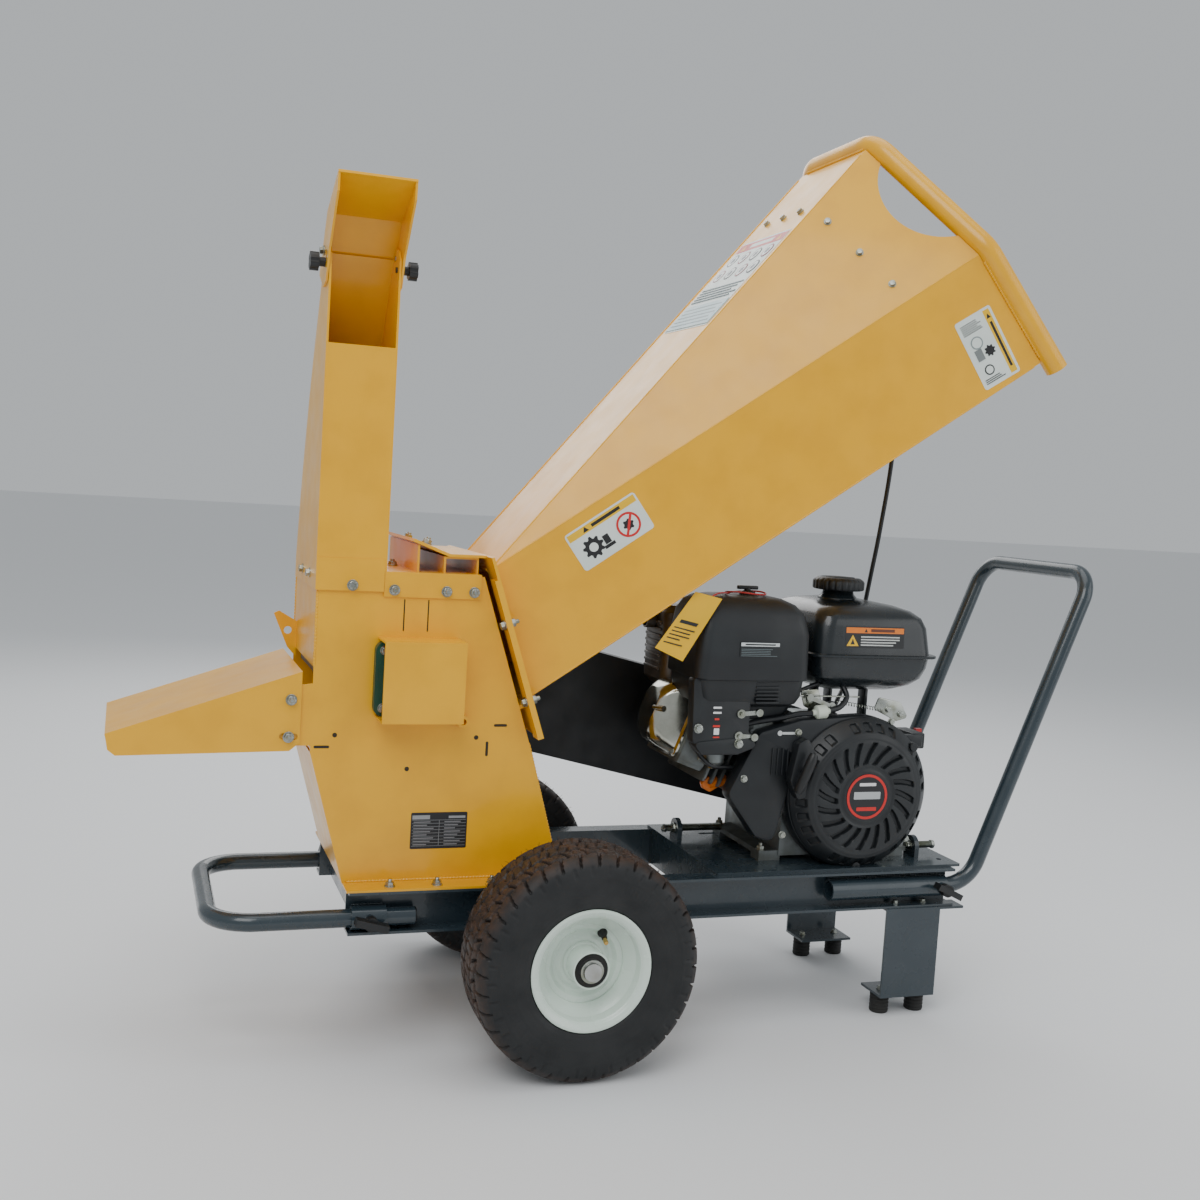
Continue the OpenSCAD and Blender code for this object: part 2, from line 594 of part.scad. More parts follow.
module star_knob(side)
    translate([side > 0 ? chute_x[1] + chute_t : chute_x[0] - chute_t, defl_knob[0], defl_knob[1]])
    mirror([side > 0 ? 0 : 1, 0, 0]) {
        cyl_x(0, 0, -chute_t - 2, chute_t + 2 * gap + 1, 4);
        cyl_x(0, 0, chute_t + 2 * gap, chute_t + 10, 6.5);
        difference() {
            cyl_x(0, 0, chute_t + 10, chute_t + 22, 13);
            for (a = [0:60:300]) rotate([a, 0, 0]) cyl_x(15, 0, chute_t + 9, chute_t + 23, 4);
        }
    }
module deflector_knob_left() color(BLACK) place() star_knob(-1);
module deflector_knob_right() color(BLACK) place() star_knob(1);
module discharge_hood() color(YELLOW) place() {
    side = [[hood_tip_x, hood_top[0]], [hood_tip_x + 4, hood_low[0] + 8], [hood_tip_x + 14, hood_low[0]],
        [hood_x1 - 14, hood_low[1]], [hood_x1, hood_low[1] + 12], [hood_x1, hood_top[1]]];
    both_sides() difference() {
        xz(hood_y, hood_y + sheet_t) polygon(side);
        cyl_y(hood_pivot[0], hood_pivot[1], hood_y - 1, hood_y + 5, 4 + run);
        // arc slot round the pivot for the lower bolt
        translate([hood_pivot[0], 0, hood_pivot[1]]) for (t = [-1:0.25:1])
            rotate([0, t * 9, 0]) cyl_y(hood_bolt[0] - hood_pivot[0], hood_bolt[1] - hood_pivot[1],
                hood_y - 1, hood_y + 5, 4.5);
    }
    xz(-hood_y - sheet_t, hood_y + sheet_t) polygon([[hood_tip_x, hood_top[0]], [hood_x1, hood_top[1]],
        [hood_x1, hood_top[1] - sheet_t], [hood_tip_x, hood_top[0] - sheet_t]]);
}

// ---- hopper ----
function far(p) = [p[0], -p[1], p[2]];   // the same corner on -Y
// room taken by the throat flange at one end and by the mouth tube at the other
module hopper_ends() {
    throat_frame() block([-60, -200, -300], [flange_t, 200, 60]);
    translate(mouth_side - mouth_trim * mouth_n) rotate([0, -mouth_lean, 0])
        block([0, -600, -400], [200, 100, 400]);
}
module side_sheets() {
    sheet([throat_low, mouth_low, mouth_side, throat_top], hopper_t);
    sheet([far(throat_top), far(mouth_side), far(mouth_low), far(throat_low)], hopper_t);
}
module hopper_flange() color(YELLOW) place() {
    throat_frame() difference() {
        block([0, -flange_y, flange_span[0]], [flange_t, flange_y, flange_span[1]]);
        block([-1, -throat_y + hopper_t, throat_span[0] + hopper_t],
            [10, throat_y - hopper_t, throat_span[1] - hopper_t]);
    }
    // lip bent back over the housing
    xz(-114, 114) polygon([[-127, 722], [-186, 722], [-240, 742], [-238, 746], [-185, 726], [-127, 726]]);
}
module hopper_trough() color(YELLOW) place() difference() {
    union() {
        // the bottom lies between the side sheets
        inset = [0, hopper_t + 0.3, 0];
        low = throat_low - inset;
        out = mouth_low - inset;
        sheet([low, far(low), far(out), out], hopper_t);
        side_sheets();
    }
    hopper_ends();
}
// chamfer sheet with the hand hold beside the tube
chamfer_u = (mouth_side - mouth_top) / norm(mouth_side - mouth_top);
chamfer_n = cross_n(throat_top, mouth_side, mouth_top);
chamfer_v = cross(chamfer_n, chamfer_u);
hold_side = chamfer_v * (throat_top - mouth_top) > 0 ? -1 : 1;   // which way of chamfer_v leaves the sheet
hold_c = mouth_top + 121 * chamfer_u + 49 * hold_side * chamfer_v;
module aligned(p, u, n) {
    v = cross(n, u);
    multmatrix([[u[0], v[0], n[0], p[0]], [u[1], v[1], n[1], p[1]], [u[2], v[2], n[2], p[2]]]) children();
}
module chamfer() difference() {
    sheet([throat_top, mouth_side, mouth_top], hopper_t);
    aligned(hold_c, chamfer_u, chamfer_n) translate([0, 0, -20]) cylinder(r = hand_hold_r, h = 40);
}
module hopper_hood() color(YELLOW) place() difference() {
    union() {
        both_sides() chamfer();
        sheet([far(throat_top), throat_top, mouth_top, far(mouth_top)], hopper_t);
    }
    side_sheets();
    hopper_ends();
}
// tube round the mouth, rounded at its bends; all of it lies in the mouth's plane
mouth_n = [cos(mouth_lean), 0, sin(mouth_lean)];
lip_top = mouth_top + lip_off * mouth_n;
lip_side = mouth_side + lip_off * mouth_n;
lip_way = unit(mouth_low - mouth_side);
lip_end = mouth_low + lip_off * mouth_n + 24 * lip_way;
lip_bend = 48;            // how far from a corner its bend starts
function unit(v) = v / norm(v);
function bent(a, c, b) = let (p = c + lip_bend * unit(a - c), q = c + lip_bend * unit(b - c))
    [for (t = [0:0.25:1]) (1 - t) * (1 - t) * p + 2 * t * (1 - t) * c + t * t * q];
function lip_line(past) = concat([lip_end + past * lip_way], bent(lip_end, lip_side, lip_top),
    bent(lip_side, lip_top, far(lip_top)), bent(lip_top, far(lip_top), far(lip_side)),
    bent(far(lip_top), far(lip_side), far(lip_end)), [far(lip_end + past * lip_way)]);
module hopper_lip_tube() color(YELLOW) place() difference() {
    sweep(lip_line(0), lip_r, 20, mouth_n);
    sweep(lip_line(2), lip_r - 2.5, 20, mouth_n);
}
module feed_curtain() color(RUBBER) place()
    yz(curtain_x - 1.5, curtain_x + 1.5) polygon([[-86, curtain_z], [86, curtain_z], [114, curtain_z - 205],
        [144, curtain_z - curtain_len], [-144, curtain_z - curtain_len], [-114, curtain_z - 205]]);

// ---- engine ----
module engine_block() color(CASTING) place() {
    difference() {
        union() {
            xz(-94, 118) polygon([[390, 256], [612, 256], [622, 300], [612, 420], [560, 462], [450, 462], [392, 400]]);
            cyl_y(crank[0], crank[1], -94, 118, 96);
            for (x = [360, 590], y = [-92, 62]) block([x - 4, y, plate_z[1]], [x + 34, y + 30, plate_z[1] + 14]);
            block([356, -92, plate_z[1] + 8], [630, 92, plate_z[1] + 16]);
        }
        cyl_y(crank[0], crank[1], -95, 119, 13);
        for (x = [363, 593], y = [-slot_y, slot_y]) translate([x, y, 240]) cylinder(r = 5, h = 30);
        // room for the two foot bolts beside the crankcase
        for (y = [-96, 70]) block([581, y, plate_z[1] + 16], [624, y + 50 + (y < 0 ? -24 : 0), 288]);
    }
    // finned cylinder
    difference() {
        barrel_frame() {
            translate([0, 0, 80]) cylinder(r = 58, h = 200);
            for (z = [110:14:236]) translate([-78, -74, z]) cube([156, 148, 4]);
            translate([-66, -66, 246]) cube([132, 132, 44]);
        }
        above_head();
    }
}
// the air cleaner and the muffler stand on the cylinder, cut flat for them
module above_head() block([209, -150, seat_z], [402, 140, 700]);
module valve_cover() color(ZINC) place() difference() {
    barrel_frame() translate([0, 0, 290]) hull() {
        translate([-62, -60, 0]) cube([124, 104, 14]);
        translate([-34, -40, 0]) cube([74, 66, 58]);
        translate([-58, -50, 0]) cube([112, 84, 34]);
    }
    above_head();
}
module fan_shroud() color(BLACK) place() difference() {
    union() {
        cyl_y(crank[0], crank[1], shroud_y[0], shroud_y[1], recoil_r + 2);
        xz(shroud_y[0], shroud_y[1]) polygon([[276, 366], [328, 466], [400, 484], [crank[0], crank[1] + recoil_r + 2],
            [crank[0], crank[1] - recoil_r], [362, 286], [330, 296]]);
        // switch box at the top right
        block([596, -120, 430], [switch_at[0] - gap, -97, 462]);
        block([616, -120, 430], [switch_at[0] - gap, -48, 462]);
        // bracket and pin of the throttle lever
        block([throttle_at[0] - 7, -112, 476], [throttle_at[0] + 7, -108, throttle_at[1] + 7]);
        cyl_y(throttle_at[0], throttle_at[1], -119, -110, pin_r);
    }
    cyl_y(crank[0], crank[1], shroud_y[0] - 1, shroud_y[1] - 3, recoil_r - 4);
    cyl_y(crank[0], crank[1], shroud_y[0] - 1, shroud_y[1] + 1, 40);
    block([360, shroud_y[0] - 1, 230], [650, shroud_y[1] + 1, plate_z[1]]);
}
module recoil_cover() color(BLACK) place() translate([crank[0], 0, crank[1]]) difference() {
    union() {
        turned_y(0) polygon([[0, recoil_y[0]], [recoil_front_r - 4, recoil_y[0]], [recoil_front_r, recoil_y[0] + 3],
            [recoil_r - 4, recoil_y[1] - 4], [recoil_r, recoil_y[1]], [recoil_r - 4, recoil_y[1]],
            [recoil_r - 8, recoil_y[1] - 4], [recoil_front_r - 4, recoil_y[0] + 6], [recoil_front_r - 8, recoil_y[0] + 3],
            [0, recoil_y[0] + 3]]);
        block([-recoil_r - 6, -150, 18], [-96, -134, 64]);
    }
    for (a = [0:18:359]) rotate([0, a, 0]) block([52, recoil_y[0] - 1, -3.5], [90, recoil_y[0] + 4, 3.5]);
    block([-100, recoil_y[0] - 1, -140], [100, recoil_y[1] + 1, plate_z[1] - crank[1]]);
}
module flywheel_fan() color(CASTING) place() translate([crank[0], 0, crank[1]]) {
    turned_y(0) polygon([[13, -101], [104, -101], [104, -105], [36, -107], [36, -122], [13, -122]]);
    for (a = [0:30:330]) rotate([0, a, 0]) block([58, -122, -2], [100, -104, 2]);
}
module crankshaft() color(ZINC) place() {
    cyl_y(crank[0], crank[1], -124, 118, 13 - run);
    cyl_y(crank[0], crank[1], 118, guard_y[1] - 6, 12.7);
}
module fuel_tank() color(BLACK) place() difference() {
    fuel_tank_shape();
    slab(tank_x[0] + 22, tank_x[1] - 46, tank_y[0] + 28, tank_y[1] - 28, 544, 662, 14);
    translate([cap[0], cap[1], 660]) cylinder(r = 21, h = 40);
}
module fuel_tank_shape() {
    hull() {
        slab(tank_x[0] + 10, tank_x[1] - 14, tank_y[0] + 8, tank_y[1] - 8, 592, 640, 22);
        slab(tank_x[0] + 14, tank_x[1] - 40, tank_y[0] + 22, tank_y[1] - 22, 664, 674, 16);
        slab(tank_x[0] + 34, tank_x[1] - 70, tank_y[0] + 50, tank_y[1] - 50, 674, 682, 16);
    }
    slab(tank_x[0], tank_x[1], tank_y[0], tank_y[1], 586, 592, 20);
    hull() {
        slab(tank_x[0] + 10, tank_x[1] - 12, tank_y[0] + 8, tank_y[1] - 8, 560, 586, 22);
        slab(tank_x[0] + 16, tank_x[1] - 22, tank_y[0] + 20, tank_y[1] - 20, 528, 540, 22);
    }
    translate([cap[0], cap[1], 676]) cylinder(r = 24, h = 12);
    // stays that carry the tank on the engine
    for (x = [455, 548], y = [-60, 60]) block([x, y, 462], [x + 6, y + 24, 530]);
}
module fuel_cap() color(BLACK) place() translate([cap[0], cap[1], cap[2] + 2.5]) difference() {
    union() { cylinder(r = 43, h = 17); translate([0, 0, 17]) cylinder(r1 = 40, r2 = 34, h = 5); }
    for (a = [0:30:330]) rotate([0, 0, a]) translate([45, 0, -1]) cylinder(r = 4, h = 30);
    translate([0, 0, -1]) cylinder(r = 26, h = 4);
}
module air_cleaner() color(BLACK) place() difference() {
    air_cleaner_shape();
    slab(218, 386, -134, -20, 516, 664, 12);
    block([310, -72, seat_z - 1], [380, -48, 520]);
}
module air_cleaner_shape() {
    hull() {
        slab(204, 398, -148, -6, 552, 640, 18);
        slab(214, 390, -138, -16, 668, 680, 18);
    }
    hull() { slab(210, 394, -142, -12, 512, 552, 14); slab(220, 390, -132, -20, 506, 512, 14); }
    block([300, -80, seat_z], [390, -40, 510]);
}
module control_cover() color(BLACK) place() {
    for (p = [choke_at, fuel_at]) cyl_y(p[0], p[1], -141, -133, pin_r);
    control_plate();
}
module control_plate() difference() {
    xz(-134, -128) polygon([[202, 505], [300, 505], [300, 452], [286, 446], [222, 446], [202, 462]]);
    for (p = [[213, 475], [262, 452]]) cyl_y(p[0], p[1], -136, -126, 3);
}
module lever(x, z, y, len, turn) translate([x, 0, z]) rotate([0, turn, 0]) difference() {
    union() {
        cyl_y(0, 0, y, y + 3, 7);
        block([0, y, -3.5], [len, y + 3, 3.5]);
        cyl_y(len, 0, y - 3, y + 3, 6);
    }
    cyl_y(0, 0, y - 1, y + 4, pin_r + run);
}
module choke_lever() color(ZINC) place() lever(choke_at[0], choke_at[1], -138, 30, -4);
module fuel_lever() color(ZINC) place() lever(fuel_at[0], fuel_at[1], -138, 26, 4);
module throttle_lever() color(ZINC) place() lever(throttle_at[0], throttle_at[1], -118, 44, 200);
module engine_switch() color(RED) place() translate(switch_at) {
    cyl_x(0, 0, 0, 7, 9);
    block([7, -4, -14], [18, 4, 14]);
}
module muffler() color(CASTING) place() difference() {
    union() {
        hull() { slab(214, 398, 22, 132, 520, 640, 20); slab(224, 388, 32, 122, 510, 650, 16); }
        cyl_x(80, 620, 200, 217, 14);
        block([290, 40, seat_z], [330, 80, 512]);
    }
    slab(218, 394, 26, 128, 522, 638, 16);
    cyl_x(80, 620, 199, 220, 11);
}
module recoil_handle() color(BLACK) place() translate(handle_at) rotate([0, 0, pull_turn]) {
    // cross grip with rounded ends, on a short neck
    cyl_x(0, 0, 3, 16, 7);
    hull() for (s = [-1, 1]) translate([20, 10 * s, 28 * s]) sphere(r = 9, $fn = 32);
}

// ---- emergency stop ----
function under_z(x) = throat_low[2] + (x - throat_low[0]) * (mouth_low_z - throat_low[2]) / (mouth_low_x - throat_low[0]);
module stop_box() color(BLACK) place() {
    x0 = stop_box_at[0] - 28;
    x1 = stop_box_at[0] + 28;
    y0 = stop_box_at[1] - 28;
    difference() {
        xz(y0, y0 + 56) polygon([[x0, stop_box_at[2] - 30], [x1, stop_box_at[2] - 30], [x1, under_z(x1)],
            [x0, under_z(x0)]]);
        cyl_x(stop_box_at[1], stop_box_at[2], x1 - 8, x1 + 2, 11);
    }
    translate([stop_box_at[0], stop_box_at[1], stop_box_at[2] - 38]) cylinder(r = 9, h = 8);
}
module stop_button() color(RED) place() translate(stop_box_at) {
    cyl_x(0, 0, 25, 36, 10);
    cyl_x(0, 0, 36, 46, 20);
}
// tube of n sides swept along the points; its sides keep their place about the reference direction
module sweep(pts, r, n, ref) {
    m = len(pts);
    t = [for (i = [0:m - 1]) unit(pts[min(i + 1, m - 1)] - pts[max(i - 1, 0)])];
    rings = [for (i = [0:m - 1]) let (a = unit(cross(t[i], ref)), b = cross(t[i], a))
        for (j = [0:n - 1]) pts[i] + r * (cos(360 * j / n) * a + sin(360 * j / n) * b)];
    polyhedron(points = rings, faces = concat([[for (j = [0:n - 1]) j]],
        [[for (j = [0:n - 1]) (m - 1) * n + n - 1 - j]],
        [for (i = [0:m - 2], j = [0:n - 1]) let (k = (j + 1) % n)
            [i * n + j, (i + 1) * n + j, (i + 1) * n + k, i * n + k]]));
}
module stop_lead() color(BLACK) place() sweep(lead_pts, lead_r, 10, [0, 1, 0]);

// ---- fasteners ----
module bolts() color(ZINC) place() {
    // housing strips and feet
    both_sides() {
        for (x = [-266, -190, -149]) head_y(x, house_y + sheet_t, 672, 1);
        for (x = [-257, -188, -106]) translate([x, 150, rail_z1 + sheet_t]) head();
    }
    // chute foot
    head_y(-326, chute_y0 - chute_t - 1, 677, -1);
    for (y = [-60, 20]) head_x(chute_x[0] - chute_t, y, 688, -1, 7);
    // throat flanges
    throat_frame() both_sides() for (z = [-76, -196]) {
        translate([flange_t, 134, z]) rotate([0, 90, 0]) head();
        translate([-flange_t, 134, z]) rotate([0, -90, 0]) head();
    }
    // hopper lip
    for (y = [-72, 72]) translate([-212, y, 737]) rotate([0, 20, 0]) head();
    translate([-245, 13, top_z + sheet_t]) head();
    // bearings
    both_sides() for (x = [-41.5, 41.5], z = [-41.5, 41.5]) head_y(rotor[0] + x, house_y + 14, rotor[1] + z, 1);
    // hood pivot and clamp bolts pass through the ears
    both_sides() for (p = [hood_pivot, hood_bolt]) {
        cyl_y(p[0], p[1], house_in - 6, hood_y + sheet_t + 1, 4);
        head_y(p[0], hood_y + sheet_t + gap, p[1], 1);
        head_y(p[0], house_in, p[1], -1, 7);
    }
    // deflector pivots
    for (p = [[chute_x[0] - chute_t, -1], [chute_x[1] + chute_t, 1]]) {
        translate([p[0], defl_pivot[0], defl_pivot[1]]) rotate([0, 90 * p[1], 0]) {
            translate([0, 0, -chute_t - 3]) cylinder(r = 4, h = 2 * chute_t + 2 * gap + 4);
            translate([0, 0, chute_t + 2 * gap]) head(7);
        }
    }
    // rear legs, and feet
    both_sides() {
        for (x = [580, 632]) translate([x, 151, rail_z0 + rail_t]) head(6);
        for (x = foot_xs) translate([x, foot_y, foot_z + leg_t]) head(6);
    }
    // curtain bolts on the hopper's roof and chamfers
    both_sides() for (u = [56, 129, 202])
        aligned(mouth_top + u * chamfer_u - hold_side * bolt_row * chamfer_v, chamfer_u, -chamfer_n) head(6);
    roof_n = cross_n(far(throat_top), throat_top, mouth_top);
    roof_v = (throat_top - mouth_top) / norm(throat_top - mouth_top);
    for (y = [-60, 0, 60]) aligned([mouth_top[0], y, mouth_top[2]] + bolt_row * [roof_v[0], 0, roof_v[2]],
        [0, 1, 0], -roof_n) head(6);
    // belt tensioners: screw, lock nuts and head
    cyl_x(62, plate_z[1] + 17, 254, 356, 6);
    head_x(254, 62, plate_z[1] + 17, -1);
    cyl_x(-88, plate_z[1] + 17, 630, 680, 6);
    head_x(680, -88, plate_z[1] + 17, 1);
    // engine foot bolts
    for (x = [363, 593], y = [-slot_y, slot_y]) translate([x, y, plate_z[1] + 16]) head();
    // wheel retainers
    both_sides() difference() {
        cyl_y(0, axle_z, wheel_y + hub_out + gap, wheel_y + hub_out + 4, 17);
        cyl_y(0, axle_z, wheel_y, wheel_y + hub_out + 5, axle_d / 2);
    }
}

module tyre_left() tyre(-1);
module tyre_right() tyre(1);
module rim_left() rim(-1);
module rim_right() rim(1);

rail_left();
rail_right();
cross_members();
axle();
rear_legs();
rubber_feet();
engine_plate();
housing_sides();
housing_wrapper();
housing_top();
anvil();
bearing_cover();
flange_bearings();
chute();
hopper_flange();
hopper_trough();
hopper_hood();
hopper_lip_tube();
belt_guard();
v_belts();
engine_block();
valve_cover();
fan_shroud();
recoil_cover();
fuel_tank();
air_cleaner();
control_cover();
muffler();
stop_box();
stop_lead();
bolts();
tyre_left();
tyre_right();
rim_left();
rim_right();
front_handle();
rear_handle();
front_knob_left();
front_knob_right();
rear_knob_left();
rear_knob_right();
rotor_shaft();
rotor_drum();
knives();
rotor_pulley();
crankshaft();
clutch_pulley();
flywheel_fan();
deflector();
deflector_knob_left();
deflector_knob_right();
discharge_hood();
feed_curtain();
recoil_handle();
fuel_cap();
choke_lever();
fuel_lever();
throttle_lever();
engine_switch();
stop_button();
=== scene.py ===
"""Looks of the wood chipper: detailed pieces, finishes, camera and light round the CAD frame.

Lengths below are in millimetres in the machine's own frame, whose X is 0 at the wheel axle.
row() turns them into the packed frame's metres.
"""

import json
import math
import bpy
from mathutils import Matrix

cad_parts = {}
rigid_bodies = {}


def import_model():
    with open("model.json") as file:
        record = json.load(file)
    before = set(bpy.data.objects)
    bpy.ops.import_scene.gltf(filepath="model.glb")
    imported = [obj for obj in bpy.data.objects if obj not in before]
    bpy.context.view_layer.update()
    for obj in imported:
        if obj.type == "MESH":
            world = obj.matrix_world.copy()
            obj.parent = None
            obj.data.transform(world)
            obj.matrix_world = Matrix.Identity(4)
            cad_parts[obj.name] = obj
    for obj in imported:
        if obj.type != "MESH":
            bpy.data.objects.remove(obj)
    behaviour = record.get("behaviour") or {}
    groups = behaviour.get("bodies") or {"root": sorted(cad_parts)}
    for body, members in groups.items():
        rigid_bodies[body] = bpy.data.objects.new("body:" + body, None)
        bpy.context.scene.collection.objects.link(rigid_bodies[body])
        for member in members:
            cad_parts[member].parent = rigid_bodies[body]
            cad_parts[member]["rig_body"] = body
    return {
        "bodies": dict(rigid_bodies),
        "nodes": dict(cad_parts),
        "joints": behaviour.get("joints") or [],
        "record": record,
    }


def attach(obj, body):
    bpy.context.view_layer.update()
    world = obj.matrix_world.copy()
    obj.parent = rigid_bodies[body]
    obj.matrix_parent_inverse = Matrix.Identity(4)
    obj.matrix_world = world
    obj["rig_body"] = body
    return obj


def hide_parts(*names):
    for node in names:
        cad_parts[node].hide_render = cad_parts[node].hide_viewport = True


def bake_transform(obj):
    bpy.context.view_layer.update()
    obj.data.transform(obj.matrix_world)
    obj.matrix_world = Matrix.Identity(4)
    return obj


bl_info = {
    "name": "Wood chipper looks",
    "version": (1, 0, 0),
    "blender": (4, 5, 0),
    "location": "3D View > Sidebar > Chipper",
    "description": "Builds the detailed pieces and finishes of the wood chipper on its CAD frame",
    "category": "Object",
}

import bmesh
import bpy
import numpy as np
from mathutils import Matrix, Vector

SHIFT_X = -138.536  # from the wheel axle to the packed frame's origin
AXLE_Z = 165.0
WHEEL_Y = 258.0
CRANK = (507.0, 367.0)  # X and Z of the crankshaft
BARREL_LEAN = math.radians(20.5)  # rise of the cylinder's axis
Z_AXIS = (0.0, 0.0, 1.0)
STATE = {}


# ---- geometry ----
def row(points):
    """Machine millimetres to packed-frame metres: add the shift along X, divide by 1000."""
    return (np.asarray(points, float) + (SHIFT_X, 0.0, 0.0)) / 1000.0


def unit(v):
    """v divided by its length."""
    v = np.asarray(v, float)
    return v / np.linalg.norm(v)


def frame_of(axis, hint=Z_AXIS):
    """Rotation whose third column is the axis and whose first is square to it and the hint."""
    w = unit(axis)
    u = np.cross(hint, w)
    if np.linalg.norm(u) < 1e-6:
        u = np.cross((0.0, 1.0, 0.0), w)
    u = unit(u)
    return np.column_stack([u, np.cross(w, u), w])


def fillet(points, radius, steps=4, closed=True):
    """Rounds a polygon: at each corner an arc, tangent to both edges, of at most the radius."""
    pts = [np.asarray(p, float) for p in points]
    made = []
    for i, p in enumerate(pts):
        if not closed and i in (0, len(pts) - 1):
            made.append(p)
            continue
        a, b = pts[i - 1] - p, pts[(i + 1) % len(pts)] - p
        la, lb = np.linalg.norm(a), np.linalg.norm(b)
        a, b = a / la, b / lb
        half = math.acos(float(np.clip(a @ b, -1, 1))) / 2
        if half > math.radians(88) or half < math.radians(2):
            made.append(p)
            continue
        cut = min(radius / math.tan(half), 0.46 * la, 0.46 * lb)
        r = cut * math.tan(half)
        centre = p + unit(a + b) * r / math.sin(half)
        s, e = p + a * cut - centre, p + b * cut - centre
        turn = math.acos(float(np.clip((s @ e) / (r * r), -1, 1)))
        for k in range(steps + 1):
            t = k / steps
            w0, w1 = math.sin((1 - t) * turn), math.sin(t * turn)
            made.append(centre + (s * w0 + e * w1) / math.sin(turn))
    return np.array(made)


def rounded_rect(x0, x1, y0, y1, r, steps=6):
    """Corner arcs of radius r on a rectangle, in order round it."""
    return fillet([(x0, y0), (x1, y0), (x1, y1), (x0, y1)], r, steps)


def circle(r, n=48, phase=0.0):
    """n points (r cos t, r sin t)."""
    t = phase + np.arange(n) * 2 * math.pi / n
    return np.column_stack([r * np.cos(t), r * np.sin(t)])


def inset(outline, d):
    """Moves a closed outline inwards by d along the mean normal of its two edges."""
    nxt, prv = np.roll(outline, -1, 0), np.roll(outline, 1, 0)
    t = nxt - prv
    n = np.column_stack([-t[:, 1], t[:, 0]])
    n /= np.maximum(np.linalg.norm(n, axis=1), 1e-9)[:, None]
    area = np.sum(outline[:, 0] * nxt[:, 1] - nxt[:, 0] * outline[:, 1])
    return outline + n * (d if area > 0 else -d)


